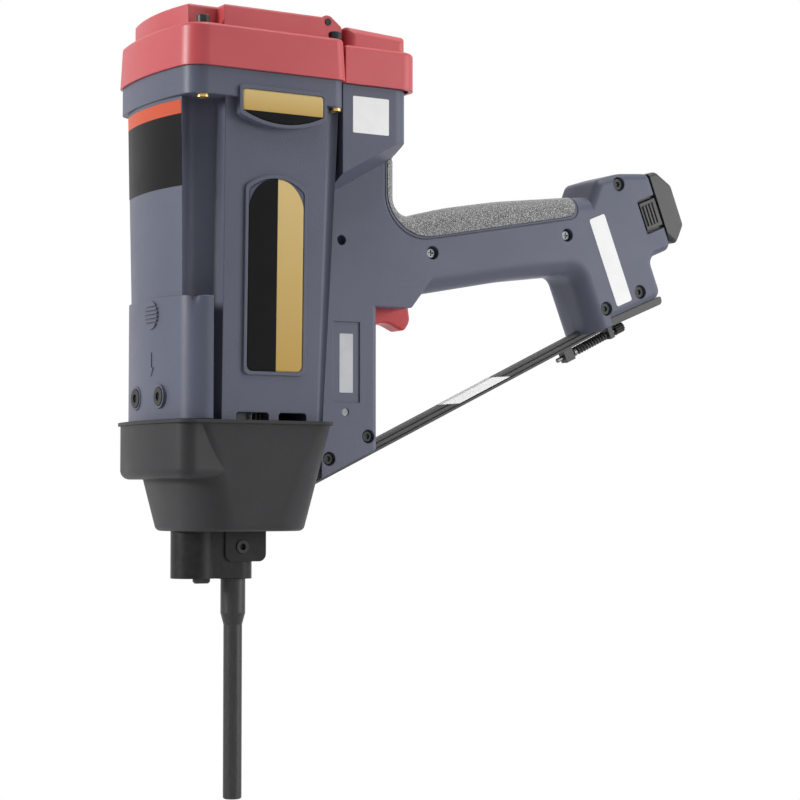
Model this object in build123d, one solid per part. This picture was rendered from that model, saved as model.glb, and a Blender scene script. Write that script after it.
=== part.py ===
"""Gas concrete nailer: a hand held gas powered nailer with a long slim muzzle tube.

Millimetres. +Z is up the driver axis, +X points back to the handle, and -Y is the near side.
The origin is on the driver axis at the muzzle tip.
"""
import os
from math import cos, pi, radians, sin, tan

from build123d import *

# Heights stacked up the driver axis
nose_level = 140.5
tube_reach = 111.0
taper_length = 7.5
collar_reach = 22.0
block_height = 30.5
cone_height = 33.0
rim_height = 36.5
housing_height = 201.0
flange_height = 17.5
band_height = 27.0
tier_height = 14.0

# Clearances, and the reach of cutting blocks that pass right through
running_gap = 0.05
piston_gap = 0.1
joint_gap = 0.35
seat_gap = 0.2
far = 200.0

# Muzzle tube and nose block
tube_radius = 6.0
collar_radius = 8.0
bore_radius = 4.0
bore_length = 98.0
relief_radius = 4.4
muzzle_chamfer = 0.8
boss_radius = 12.0
lobe_radius = 14.3
lobe_offset = 28.5
lobe_step = 0.5
web_half = 12.0
lug_half = 13.2
lug_front = 12.0
lug_rear = 17.0
lug_drop = 19.5
lug_round = 5.0
base_radius = 36.0
base_thick = 6.0
post_spread = 27.0
post_radius = 5.0
set_screw_radius = 4.2
set_screw_length = 4.0
set_screw_height = 10.0
set_screw_show = 0.8
set_screw_key = 3.0
clip_front = 32.0
clip_rear = 20.5
clip_drop = 2.6
clip_rise = 6.0
clip_seat = 3.0
clip_thick = 2.5

# Probe, chamber and engine on the driver axis
probe_travel = 20.0
yoke_lift = 6.0
yoke_thick = 6.0
yoke_hub = 17.0
yoke_arm = 5.5
yoke_round = 2.0
sleeve_ledge = 1.5
rod_spread = 31.0
rod_radius = 2.5
cylinder_bore = 21.0
cylinder_wall = 3.0
cylinder_plate = 43.0
plate_thick = 6.0
cylinder_flange = 6.0
piston_sink = 3.0
chamber_bore = 37.5
chamber_wall = 2.5
chamber_length = 80.0
chamber_gap = 8.0
sleeve_spare = 5.0
sleeve_floor = 4.0
seal_section = 1.2
piston_height = 14.0
ring_height = 2.8
ring_depth = 2.4
ring_gap = 0.04
piston_dish = 6.0
stroke = 110.0
driver_radius = 3.8
bumper_height = 22.0
bumper_clear = 1.2
bumper_chamfer = 3.0
head_radius = 46.0
head_plate = 6.0
head_boss = 23.0
head_seal_lift = 4.5
motor_seat = 6.0
boss_gap = 0.6
motor_radius = 13.0
motor_height = 34.0
motor_round = 2.0
shaft_radius = 1.5
fan_radius = 25.0
fan_hub = 5.0
fan_height = 9.0
fan_gap = 2.0
blade_chord = 9.0
blade_thick = 1.2
blade_pitch = 35.0
fan_blades = 6
plug_radius = 4.0
plug_offset = 30.0
plug_reach = 4.0
plug_top = 8.0
plug_flange = 2.0
spring_radius = 15.0
spring_wire = 1.0
spring_turns = 4
coil_end = 1.3
wire_sides = 6

# Main housing
housing_front = 62.0
housing_half = 51.0
housing_rear = 52.0
front_bulge = 8.0
front_corner = 10.0
rear_corner = 8.0
draft_front = 3.5
draft_side = 4.5
draft_rear = 8.5
rim_overlap = 3.0
flange_lip = 4.0
flange_front_lip = 1.0
flange_bow = 6.5
flange_corner = 13.0
spigot_radius = 47.5
spigot_height = 6.0
upper_cavity = 42.5
lower_cavity = 36.0
cavity_spare = 2.0
flute_radius = 13.5
flute_x = 45.5
flute_y = 47.5
rear_flute_radius = 6.0
rear_flute_taper = 2.8
vent_height = 5.8
vent_lift = -0.8
vent_round = 2.0
vent_spans = ((-22.0, 1.0), (8.0, 27.8))

# Badges on the near side
badge_frame = 2.2
badge_proud = 1.4
badge_sink = 0.3
small_badge_corner = 2.2
tall_badge_corner = 4.0
small_badge_left = -25.0
small_badge_width = 62.0
small_badge_top = 449.0
small_badge_height = 18.0
small_badge_arch = 7.0
tall_badge_left = -18.0
tall_badge_width = 44.0
tall_badge_base = 269.0
tall_badge_height = 118.0
tall_badge_arch = 8.0

# Head cap
cap_overhang = 1.7
cap_corner = 15.0
cap_draft = 1.2
cap_wall = 3.2
cap_bow = 7.0
cap_edge = 2.5
tier_front = 57.5
tier_half = 50.0
tier_rear = 47.0
tier_corner = 10.0
tier_edge = 2.0
tier_room_front = 44.0
tier_room_rear = 38.0
pipe_hole = 3.0
notch_front = 33.0
notch_rear = 38.0
notch_half = 39.5
screw_x = 47.0
screw_edge = 2.0
screw_shank = 2.4
screw_head = 4.25
screw_head_height = 5.0
socket_radius = 2.3
key_depth = 2.8
head_chamfer = 0.6
insert_radius = 4.0
insert_length = 14.0
insert_show = 2.0
column_radius = 6.5

# Fuel door and its hinge
hinge_x = 47.0
hinge_rise = 0.6
hinge_pin = 2.2
hinge_lug_radius = 5.3
hinge_lug_inner = 33.0
hinge_lug_width = 7.0
hinge_lug_reach = 10.0
hinge_lug_front = 10.0
hinge_lug_drop = 2.5
hinge_gap = 0.1
pin_show = 0.4
arm_lift = 4.0
barrel_radius = 4.5
pocket_depth = 6.5
door_half = 50.0
door_gap = 0.8
door_rear = 110.5
door_band = 25.0
door_tier = 14.0
door_slope = 2.5
door_inset = 6.0
door_tier_front = 59.5
door_wall = 2.8
door_corner = 12.0

# Rear column and lower frame
column_half = 48.0
column_rear = 105.0
column_corner = 12.0
column_wall = 4.0
crease_x = 60.0
crease_z = 404.0
crease_angle = 29.0
crease_drop = 12.0
bay_floor = 432.0
grip_half = 22.0
frame_rear = 95.5
frame_foot = 53.0
frame_bottom = 204.8
frame_round = 4.0
frame_jog = 4.0
column_gap = 0.8
panel_left = 61.5
panel_width = 20.0
panel_base = 254.5
panel_height = 53.0
panel_depth = 0.8

# Handle bar
root_rear = 111.3
root_top = 424.0
root_radius = 12.0
handle_round = 12.0
handle_top_a = (150.0, 388.3)
handle_top_b = (195.0, 396.3)
handle_top_end = (283.0, 407.0)
handle_top_start = 377.6
handle_under_a = (172.0, 336.4)
handle_under_b = (207.0, 343.0)
handle_under_end = 349.6
handle_sweep = 320.0
finger_radius = 9.0
lip_top = (129.0, 328.3)
lip_tip = (121.5, 318.9)
handle_wall = 5.5
pad_thick = 2.5
pad_proud = 0.5
pad_front = 103.0
pad_front_top = 417.0
pad_low = 361.6
pad_corner = 30.0
pad_end = (257.0, 390.4)
pad_end_round = 8.0
pad_rise = 60.0
pad_step = 30.0
bead_offset = 1.6
bead_width = 0.7
bead_depth = 0.5

# Foot block, on axes tilted up to the rear
foot_x = 300.0
foot_z = 370.0
foot_tilt = 22.0
foot_front = -47.5
foot_back = 20.0
foot_toe = -47.5
foot_heel = -43.0
foot_step = -31.0
jaw_low = -14.0
jaw_end = 42.0
hump_front = -11.5
hump_foot = 43.5
hump_peak = 52.5
hump_run = 8.0
hump_back = 17.0
hump_fall = 1.6
hump_sweep = 40.0
jaw_top = 43.0
foot_round = 5.5
foot_overlap = 10.0
foot_corner = 6.5
jaw_corner = 6.0
bracket_thick = 5.5
bracket_half = 18.0
bracket_screw_spots = (6.5, 15.0)
bracket_screw = 2.8
bracket_head = 1.6
board_ceiling = 2.0
board_thick = 2.0
board_half = 14.0
board_parts = (-26.0, -12.0, 2.0)
board_part = 8.0
board_end = 9.0
board_length = 43.0

# Battery
socket_depth = 76.0
socket_half = 17.0
socket_low = -9.5
socket_high = 36.5
contact_pitch = 10.0
contact_half = 2.0
contact_width = 8.0
contact_thick = 0.3
battery_end = 59.5
battery_cap_half = 20.0
battery_gap = 0.5
end_rise = 7.0
end_step = 4.5
end_fall = 14.0
end_run = 10.0
end_edge = 3.0
button_front = 25.5
button_length = 14.5
button_low = 5.0
button_height = 20.0
button_proud = 4.5
button_depth = 6.0
button_press = 2.5
button_ribs = 4
button_notch = 2.5
button_rib_half = 0.8
button_rib_proud = 1.0

# Rail and its spring plunger
rail_tilt = 25.2
rail_x = 103.0
rail_z = 226.2
rail_height = 7.5
rail_half = 3.5
rail_start = -54.0
rail_end = 211.0
rail_groove = 1.2
rail_groove_depth = 1.2
rail_channel = 1.5
rail_groove_level = 1.6
rail_channel_depth = 2.0
plunger_radius = 1.6
plunger_tip = 165.5
guide_start = 171.0
guide_length = 8.0
guide_half = 3.5
collar_thick = 2.2
collar_gap = 1.35
plunger_gap = 0.1
guide_drop = 4.0
collar_lip = 0.6
flute_cut = 0.5
latch_spring_length = 30.5
latch_spring_radius = 2.6
latch_wire = 0.8
latch_turns = 11
latch_drop = 4.4
latch_seat_thick = 4.0
seat_lug_half = 4.5
seat_lug_height = 12.0
seat_lug_drop = 3.6
latch_gap = 4.0
knob_radius = 3.8
knob_length = 7.5
knob_flutes = 12

# Trigger
trigger_half = 7.5
trigger_round = 2.0
trigger_hollow = 16.0
trigger_lean = 3.0
trigger_dip = 3.0
toe_round = 4.0
trigger_pin_gap = 0.08
trigger_front = 98.0
trigger_rear = 129.6
trigger_low = 307.0
trigger_toe = 304.3
trigger_top = 338.0
trigger_pin_x = 103.5
trigger_pin_z = 334.0
trigger_pin_radius = 2.0
trigger_pin_half = 17.0
pocket_rear = 136.0
pocket_top = 345.0
trigger_room = 1.5
switch_front = 106.0
switch_length = 20.0
switch_height = 11.0
switch_half = 7.0

# Fuel cell
can_x = 77.5
can_radius = 17.5
can_base = 336.0
can_height = 116.0
can_pad = 3.0
can_gap = 0.5
can_neck = 6.0
can_stem = 2.0
can_step = 4.0
can_edge = 1.5
can_wall = 0.8
valve_front = 12.0
valve_rear = 10.0
valve_half = 9.0
valve_height = 13.0
pipe_radius = 2.0
coil_width = 16.0
coil_height = 12.0

# Cover on the lower front
cover_height = 76.5
cover_side_end = 39.0
cover_proud = 1.9
cover_corner = 15.0
cover_screw_spread = 17.0
cover_screw_lift = 14.5
cover_boss = 7.5
thumb_radius = 9.0
thumb_drop = 10.5
thumb_offset = 6.0
thumb_proud = 0.7
thumb_cuts = 5
thumb_pitch = 2.5
thumb_cut = 1.1
arrow_drop = 34.0
arrow_length = 15.0
arrow_head = 5.5
arrow_half = 3.2
arrow_stem = 0.7
arrow_proud = 0.4
cover_edge = 1.0
cover_boss_wall = 1.4
cover_boss_height = 2.4
cover_screw_height = 1.8
cover_socket = 3.0

# Shroud
shroud_wall = 2.5
shroud_half = 50.0
shroud_front = 66.0
shroud_throat = 60.0
shroud_rear = 48.0
shroud_lip = 1.2
shroud_lip_height = 2.2
bulge_depth = 12.0
bulge_tail = 44.0
bulge_bow = 8.0
bulge_corner = 10.0
rim_front_corner = 14.0
rim_rear_corner = 9.0
waist_front = 53.5
waist_half = 45.5
waist_rear = 46.0
waist_corner = 24.0
sole_front = 47.0
sole_half = 40.0
sole_rear = 41.0
sole_corner = 28.0
sole_edge = 4.0
bulge_round = 6.0

# Small fasteners
grip_screw_radius = 3.3
handle_screw_radius = 3.0
handle_recess_depth = 4.9
grip_screw_shank = 1.7
recess_radius = 4.6
recess_depth = 4.0
side_head_height = 2.2
side_screw_end = 13.5
cross_length = 4.0
cross_width = 0.9
side_key_radius = 2.0
side_key_depth = 1.2
foot_screw_radius = 4.0
foot_recess_radius = 5.0
handle_screw_spots = ((138.3, 356.9), (249.8, 376.0))
frame_screw_spots = ((88.0, 232.5), (58.5, 217.5))
sight_hole = (67.6, 361.0)
sight_radius = 3.3
sight_depth = 5.0
foot_screw_spots = ((12.3, 44.0), (-31.8, -34.7), (1.1, -33.5))
dowel_spot = (70.6, 248.2)
dowel_radius = 2.6
dowel_sink = 0.6
dowel_end = 19.0

# Heights worked out from the stack
block_bottom = nose_level
taper_low = block_bottom - collar_reach - taper_length
tube_tip = taper_low - tube_reach
shroud_bottom = block_bottom + block_height
shelf_z = shroud_bottom + cone_height
rim_z = shelf_z + rim_height
housing_bottom = rim_z - rim_overlap
flange_z = rim_z + housing_height
cap_z = flange_z + flange_height
ledge_z = cap_z + band_height
top_z = ledge_z + tier_height
spigot_top = cap_z + spigot_height
base_top = shroud_bottom + shroud_wall + base_thick
yoke_bottom = base_top + yoke_lift
tube_top = yoke_bottom + yoke_thick
plate_bottom = housing_bottom - plate_thick
sleeve_top = spigot_top - head_boss - chamber_gap
sleeve_bottom = sleeve_top - chamber_length
cylinder_top = sleeve_bottom + sleeve_floor + probe_travel + sleeve_spare + cylinder_flange
piston_bottom = cylinder_top - piston_sink - piston_height
cavity_step = sleeve_bottom - cavity_spare
column_top = cap_z - seat_gap
hinge_z = top_z - hinge_rise
screw_y = housing_half - screw_edge
door_top = cap_z + door_band + door_tier
cover_bottom = rim_z + joint_gap
cover_top = cover_bottom + cover_height
SIDES = (-1, 1)


def save(node, shape):
    """Write one node as a STEP file."""
    export_step(shape, f"parts/{node}.step")


def group(shapes):
    """Several separate solids of one node."""
    return Compound(children=[part for shape in shapes for part in shape.solids()])


def block(x0, x1, y0, y1, z0, z1):
    """A box between two corners."""
    place = Pos((x0 + x1) / 2, (y0 + y1) / 2, (z0 + z1) / 2)
    return place * Box(x1 - x0, y1 - y0, z1 - z0)


def post(x, y, z0, z1, radius):
    """An upright cylinder."""
    return Pos(x, y, (z0 + z1) / 2) * Cylinder(radius, z1 - z0)


def ring(z0, z1, outer, inner):
    """An upright tube on the driver axis."""
    return post(0, 0, z0, z1, outer) - post(0, 0, z0 - 1, z1 + 1, inner)


def cross_pin(x, z, y0, y1, radius):
    """A cylinder along Y."""
    return Pos(x, (y0 + y1) / 2, z) * Rot(90, 0, 0) * Cylinder(radius, y1 - y0)


def plate_xz(points, radii, half):
    """An XZ outline with rounded corners, extruded to both sides of the middle plane."""
    outline = FilletPolyline(*points, radius=radii, close=True)
    return extrude(Plane.XZ * make_face(outline), half, both=True)


def plan_outline(front, half, rear, bulge, front_round, rear_round, rear_half=None):
    """Plan face with a bowed front, flat sides and a flat rear, which may be narrower."""
    rear_half = rear_half or half
    side_front = bulge - front
    bow = ThreePointArc((side_front, half), (-front, 0), (side_front, -half))
    sides = Polyline((side_front, -half), (rear, -rear_half), (rear, rear_half), (side_front, half))
    face = make_face(bow + sides)
    corners = face.vertices().group_by(Axis.X)
    face = fillet(corners[0], front_round)
    if rear_round > 0:
        face = fillet(face.vertices().group_by(Axis.X)[-1], rear_round)
    return face


def foot_point(u, v):
    """World X and Z of a point on the foot's tilted axes."""
    tilt = radians(foot_tilt)
    return (foot_x + u * cos(tilt) - v * sin(tilt), foot_z + u * sin(tilt) + v * cos(tilt))


def foot_plane():
    """Plane of the foot's tilted axes, with its normal towards the near side."""
    tilt = radians(foot_tilt)
    return Plane(origin=(foot_x, 0, foot_z), x_dir=(cos(tilt), 0, sin(tilt)), z_dir=(0, -1, 0))


def foot_block(u0, u1, v0, v1, y0, y1):
    """A box on the foot's axes, between y0 and y1 in Y."""
    place = foot_plane() * Pos((u0 + u1) / 2, (v0 + v1) / 2, -(y0 + y1) / 2)
    return place * Box(u1 - u0, v1 - v0, y1 - y0)


def rail_plane(run, drop):
    """Section plane of the rail at a distance along it and below its middle."""
    tilt = radians(rail_tilt)
    x = rail_x + run * cos(tilt) + drop * sin(tilt)
    z = rail_z + run * sin(tilt) - drop * cos(tilt)
    return Plane(origin=(x, 0, z), x_dir=(0, 1, 0), z_dir=(cos(tilt), 0, sin(tilt)))


def along_rail(face, start, length, drop=0.0):
    """A section face extruded along the rail."""
    return extrude(rail_plane(start, drop) * face, length)


def housing_rear_at(z):
    """X of the housing's drafted rear wall at a height."""
    return housing_rear - draft_rear * (flange_z - z) / (flange_z - housing_bottom)


def housing_section(share, grow):
    """Plan of the housing at a share of its draft, grown all round."""
    return plan_outline(
        housing_front - draft_front * share + grow,
        housing_half - draft_side * share + grow,
        housing_rear - draft_rear * share + grow,
        front_bulge, front_corner, rear_corner,
    )


def housing_skin(grow):
    """Drafted tub of the housing below its flange."""
    low = Pos(0, 0, housing_bottom) * housing_section(1.0, grow)
    high = Pos(0, 0, flange_z) * housing_section(0.0, grow)
    return loft([low, high], ruled=True)


def flange_outline():
    """Plan of the housing flange."""
    front = housing_front + flange_front_lip
    half = housing_half + flange_lip
    return plan_outline(front, half, housing_rear, flange_bow, flange_corner, rear_corner)


def screw_spots():
    """Cap screw places: two in front, two behind."""
    return [(x, y) for x in (-screw_x, screw_x) for y in (-screw_y, screw_y)]


def small_badge_outline(inset):
    """Wide badge with an arched lower edge."""
    left = small_badge_left + inset
    right = small_badge_left + small_badge_width - inset
    top = small_badge_top - inset
    low = small_badge_top - small_badge_height + inset
    middle = (left + right) / 2
    arch = ThreePointArc((left, low), (middle, low - small_badge_arch), (right, low))
    rest = Polyline((right, low), (right, top), (left, top), (left, low))
    face = make_face(arch + rest)
    return fillet(face.vertices(), small_badge_corner)


def tall_badge_outline(inset):
    """Tall badge with an arched top."""
    left = tall_badge_left + inset
    right = tall_badge_left + tall_badge_width - inset
    low = tall_badge_base + inset
    high = tall_badge_base + tall_badge_height - inset
    middle = (left + right) / 2
    arch = ThreePointArc((right, high), (middle, high + tall_badge_arch), (left, high))
    rest = Polyline((left, high), (left, low), (right, low), (right, high))
    face = make_face(arch + rest)
    return fillet(face.vertices(), tall_badge_corner)


def near_side_half(z):
    """Half width of the drafted housing side at a height."""
    return housing_half - draft_side * (flange_z - z) / (flange_z - housing_bottom)


def side_plane(z_low, z_high):
    """Plane on the drafted near side, for a piece between two heights."""
    y_low = near_side_half(z_low)
    y_high = near_side_half(min(z_high, flange_z))
    lean = (y_high - y_low) / (min(z_high, flange_z) - z_low)
    return Plane(origin=(0, -y_low + lean * z_low, 0), x_dir=(1, 0, 0), z_dir=(0, -1, -lean))


def badge_solid(outline, plane, low, high):
    """An outline laid on a side plane and raised between two depths."""
    return extrude(plane * Pos(0, 0, low) * outline, high - low)


def badge_planes():
    """Seat planes of the small and the tall badge."""
    small = Plane(origin=(0, -housing_half - flange_lip, 0), x_dir=(1, 0, 0), z_dir=(0, -1, 0))
    tall = side_plane(tall_badge_base, tall_badge_base + tall_badge_height)
    return small, tall


def main_housing():
    """Drafted tub with a flange, corner flutes, exhaust slots and badge frames."""
    body = housing_skin(0)
    for side in SIDES:
        body -= post(-flute_x, side * flute_y, housing_bottom - 1, flange_z, flute_radius)
        high = Pos(screw_x, side * (screw_y + 0.5), flange_z) * Circle(rear_flute_radius)
        low_x = housing_rear_at(housing_bottom) - rear_flute_radius + 1.0
        low_y = side * near_side_half(housing_bottom)
        low = Pos(low_x, low_y, housing_bottom) * Circle(rear_flute_radius - rear_flute_taper)
        body -= loft([low, high], ruled=True)
    body += extrude(Pos(0, 0, flange_z) * flange_outline(), flange_height)
    body += post(0, 0, cap_z, spigot_top, spigot_radius)
    small_plane, tall_plane = badge_planes()
    bridge = flange_lip + badge_proud
    body += badge_solid(small_badge_outline(0), small_plane, -bridge, badge_proud)
    body += badge_solid(tall_badge_outline(0), tall_plane, -1.0, badge_proud)
    body -= badge_solid(small_badge_outline(badge_frame), small_plane, 0, badge_proud + 1)
    body -= badge_solid(tall_badge_outline(badge_frame), tall_plane, 0, badge_proud + 1)
    body -= post(0, 0, housing_bottom - 1, cavity_step, lower_cavity)
    body -= post(0, 0, cavity_step, spigot_top + 1, upper_cavity)
    for x0, x1 in vent_spans:
        low = rim_z + vent_lift
        vent = block(x0, x1, -housing_half - 1, -lower_cavity / 2, low, low + vent_height)
        body -= fillet(vent.edges().filter_by(Axis.Y).group_by(Axis.Z)[-1], vent_round)
    for x, y in screw_spots():
        body -= post(x, y, flange_z - 1, flange_z + insert_length - insert_show, insert_radius)
        body -= post(x, y, flange_z, cap_z + 1, screw_shank + joint_gap)
    return body


def badge_inserts():
    """Domed inserts that sit in the two badge frames."""
    small_plane, tall_plane = badge_planes()
    inset = badge_frame + seat_gap
    small = badge_solid(small_badge_outline(inset), small_plane, 0, badge_proud - badge_sink)
    tall = badge_solid(tall_badge_outline(inset), tall_plane, 0, badge_proud - badge_sink)
    return small, tall


def cap_outline(share, grow):
    """Plan of the head cap's band at a share of its draft."""
    step = cap_overhang - cap_draft * share + grow
    return plan_outline(
        housing_front + flange_front_lip + step,
        housing_half + flange_lip + step,
        housing_rear + step,
        cap_bow, cap_corner + grow, rear_corner + grow,
    )


def hinge_lug(side):
    """Humped lug on the cap that holds one end of the hinge pin."""
    middle = side * (hinge_lug_inner + hinge_lug_width / 2)
    points = (
        (hinge_x - hinge_lug_front, ledge_z - 1),
        (hinge_x - hinge_lug_front, top_z - 1),
        (hinge_x, hinge_z + hinge_lug_radius),
        (hinge_x + hinge_lug_reach, hinge_z - hinge_lug_drop),
        (hinge_x + hinge_lug_reach, ledge_z + 1.5),
        (housing_rear, ledge_z - 1),
    )
    outline = FilletPolyline(*points, radius=(0, 2, hinge_lug_radius, 2.5, 1.0, 0), close=True)
    lug = extrude(Plane.XZ * make_face(outline), hinge_lug_width / 2, both=True)
    return Pos(0, middle, 0) * lug


def head_cap():
    """Two tier cap with screw columns, corner notches and hinge lugs."""
    low = Pos(0, 0, cap_z) * cap_outline(0.0, 0)
    high = Pos(0, 0, ledge_z) * cap_outline(1.0, 0)
    shell = loft([low, high], ruled=True)
    shell = fillet(shell.faces().sort_by(Axis.Z)[-1].edges(), cap_edge)
    plan = plan_outline(tier_front, tier_half, tier_rear, front_bulge, tier_corner, tier_edge)
    tier = extrude(Pos(0, 0, ledge_z - 1) * plan, tier_height + 1)
    for side in SIDES:
        y0, y1 = sorted((side * notch_half, side * far))
        tier -= block(-far, -notch_front, y0, y1, ledge_z, top_z + 1)
        tier -= block(notch_rear, far, y0, y1, ledge_z, top_z + 1)
    tier = fillet(tier.faces().sort_by(Axis.Z)[-1].edges(), tier_edge)
    cap = shell + tier
    room = extrude(Pos(0, 0, cap_z) * cap_outline(1.0, -cap_wall), band_height - cap_wall)
    for x, y in screw_spots():
        room -= post(x, y, cap_z, ledge_z, column_radius)
    room_half = notch_half - cap_wall
    tier_room = block(-tier_room_front, tier_room_rear, -room_half, room_half, cap_z, top_z - cap_wall)
    cap -= room
    cap -= tier_room
    reach = hinge_lug_inner - joint_gap
    pocket_front = hinge_x - barrel_radius - 1.0
    cap -= block(pocket_front, far, -reach, reach, top_z - pocket_depth, top_z + 1)
    for side in SIDES:
        cap += hinge_lug(side)
    half = hinge_lug_inner + hinge_lug_width + 1
    cap -= cross_pin(hinge_x, hinge_z, -half, half, hinge_pin + running_gap)
    for x, y in screw_spots():
        cap -= post(x, y, cap_z - 1, ledge_z + 1, screw_shank + joint_gap)
    pipe_place = Pos(housing_rear, 0, spigot_top + head_plate / 2) * Rot(0, 90, 0)
    return cap - pipe_place * Cylinder(pipe_hole, 5 * cap_wall)


def socket_screw(length, head, head_height, shank):
    """Socket head screw with its head on +Z above the origin."""
    screw = Pos(0, 0, head_height / 2) * Cylinder(head, head_height)
    screw = chamfer(screw.edges().sort_by(Axis.Z)[-1], head_chamfer)
    screw += Pos(0, 0, -length / 2) * Cylinder(shank, length)
    key = extrude(RegularPolygon(socket_radius, 6), key_depth)
    return screw - Pos(0, 0, head_height - key_depth) * key


def cap_screws():
    """Four socket head screws down through the cap."""
    length = ledge_z - flange_z + 1.0
    screw = socket_screw(length, screw_head, screw_head_height, screw_shank)
    return group([Pos(x, y, ledge_z) * screw for x, y in screw_spots()])


def brass_inserts():
    """Four threaded inserts that show under the flange."""
    low = flange_z - insert_show
    tube = Pos(0, 0, insert_length / 2) * Cylinder(insert_radius, insert_length)
    tube -= Pos(0, 0, insert_length / 2) * Cylinder(screw_shank + running_gap, insert_length + 1)
    return group([Pos(x, y, low) * tube for x, y in screw_spots()])


def fuel_door():
    """Hinged lid over the fuel bay, open to the front and below."""
    front = cap_front_of_door()
    step = cap_z + door_band
    outline = plan_rear_box(front, door_rear, door_half, door_corner)
    band = extrude(Pos(0, 0, cap_z) * outline, door_band)
    band = fillet(band.faces().sort_by(Axis.Z)[-1].edges(), cap_edge)
    top_half = door_half - door_inset
    top_rear = door_rear - door_inset
    tier_points = (
        (door_tier_front, step - 1), (door_tier_front, door_top),
        (top_rear, door_top - door_slope), (top_rear, step - 1),
    )
    tier = plate_xz(tier_points, (0, tier_edge, tier_edge, 0), top_half)
    tier = fillet(tier.edges().filter_by(Axis.Z).group_by(Axis.X)[-1], door_corner - door_inset)
    door = band + tier
    room_rear = door_rear - door_wall
    room_outline = plan_rear_box(front - 1, room_rear, door_half - door_wall, door_corner - door_wall)
    door -= extrude(Pos(0, 0, cap_z - 1) * room_outline, door_band - door_wall + 1)
    room_half = top_half - door_wall
    door -= block(door_tier_front + door_wall, top_rear - 2 * door_wall, -room_half, room_half,
                  cap_z, door_top - door_slope - door_wall)
    arm_half = hinge_lug_inner - 1.0
    arm_points = (
        (hinge_x, hinge_z + barrel_radius), (door_tier_front + tier_edge, door_top - 0.2),
        (door_tier_front + tier_edge, step + arm_lift), (hinge_x, hinge_z - barrel_radius),
    )
    door += plate_xz(arm_points, (0, 0, 0, 0), arm_half)
    door += cross_pin(hinge_x, hinge_z, -arm_half, arm_half, barrel_radius)
    return door - cross_pin(hinge_x, hinge_z, -arm_half - 1, arm_half + 1, hinge_pin + hinge_gap)


def cap_front_of_door():
    """X of the front edges of the door, just behind the cap."""
    return housing_rear + cap_overhang + door_gap


def plan_rear_box(front, rear, half, corner):
    """Plan face with a square front and rounded rear corners."""
    points = ((front, -half), (rear, -half), (rear, half), (front, half))
    return make_face(FilletPolyline(*points, radius=(0, corner, corner, 0), close=True))


def hinge_pin_node():
    """Steel pin through the cap's lugs and the door's barrel."""
    half = hinge_lug_inner + hinge_lug_width + pin_show
    return cross_pin(hinge_x, hinge_z, -half, half, hinge_pin)


def cover_reach():
    """Front reach and half width of the cover, outside the housing at its mid height."""
    share = (flange_z - (cover_bottom + cover_top) / 2) / (flange_z - housing_bottom)
    front = housing_front - draft_front * share + cover_proud
    return front, housing_half - draft_side * share + cover_proud


def front_cover():
    """Screwed cover that wraps the lower front and both front flutes."""
    front, half = cover_reach()
    outline = plan_outline(front, half, housing_rear, front_bulge, cover_corner, cover_edge)
    cover = extrude(Pos(0, 0, cover_bottom) * outline, cover_height)
    cover = fillet(cover.faces().sort_by(Axis.Z)[-1].edges(), cover_edge)
    cover -= block(-cover_side_end, far, -far, far, cover_bottom - 1, cover_top + 1)
    cover += thumb_disc(front)
    cover += cover_arrow(front)
    cover -= housing_skin(seat_gap)
    for side in SIDES:
        spot = Pos(-front + 1.0, side * cover_screw_spread, cover_bottom + cover_screw_lift) * Rot(0, 90, 0)
        cover += spot * Cylinder(cover_boss, cover_boss_height)
        cover -= spot * Cylinder(cover_boss - cover_boss_wall, 40)
    return cover


def thumb_disc(front):
    """Round thumb grip on the cover, cut by level grooves."""
    middle = cover_top - thumb_drop
    place = Pos(-front + 0.5, -thumb_offset, middle) * Rot(0, 90, 0)
    disc = place * Cylinder(thumb_radius, 1 + 2 * thumb_proud)
    for index in range(thumb_cuts):
        z = middle + (index - (thumb_cuts - 1) / 2) * thumb_pitch
        disc -= block(-far, -front + 0.2, -far, far, z - thumb_cut / 2, z + thumb_cut / 2)
    return disc


def cover_arrow(front):
    """Plain raised arrow on the cover, pointing down."""
    top = cover_top - arrow_drop
    tip = top - arrow_length
    points = (
        (-arrow_stem, top), (arrow_stem, top), (arrow_stem, tip + arrow_head), (arrow_half, tip + arrow_head),
        (0, tip), (-arrow_half, tip + arrow_head), (-arrow_stem, tip + arrow_head), (-arrow_stem, top),
    )
    outline = make_face(Polyline(*points))
    plane = Plane(origin=(-front + 1.0, -thumb_offset, 0), x_dir=(0, -1, 0), z_dir=(-1, 0, 0))
    return extrude(plane * outline, 1.0 + arrow_proud)


def front_cover_screws():
    """Two socket screws in the cover's ring bosses."""
    front, _ = cover_reach()
    rim = cover_boss - cover_boss_wall - seat_gap
    screws = []
    for side in SIDES:
        spot = Pos(-front, side * cover_screw_spread, cover_bottom + cover_screw_lift) * Rot(0, -90, 0)
        head = Pos(0, 0, -0.2) * Cylinder(rim, cover_screw_height)
        key = Pos(0, 0, -0.3) * extrude(RegularPolygon(cover_socket, 6), cover_screw_height)
        screws.append(spot * (head - key))
    return group(screws)


def shroud_loft(inset, floor):
    """Main cone of the shroud."""
    rim = plan_outline(shroud_throat - inset, shroud_half - inset, shroud_rear - inset,
                       bulge_bow, rim_front_corner, rim_rear_corner)
    waist = plan_outline(waist_front - inset, waist_half - inset, waist_rear - inset,
                         front_bulge, waist_corner, waist_corner)
    sole = plan_outline(sole_front - inset, sole_half - inset, sole_rear - inset,
                        front_bulge, sole_corner, sole_corner)
    heights = (floor, shelf_z, rim_z)
    faces = [Pos(0, 0, z) * face for z, face in zip(heights, (sole, waist, rim))]
    return loft(faces)


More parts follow.
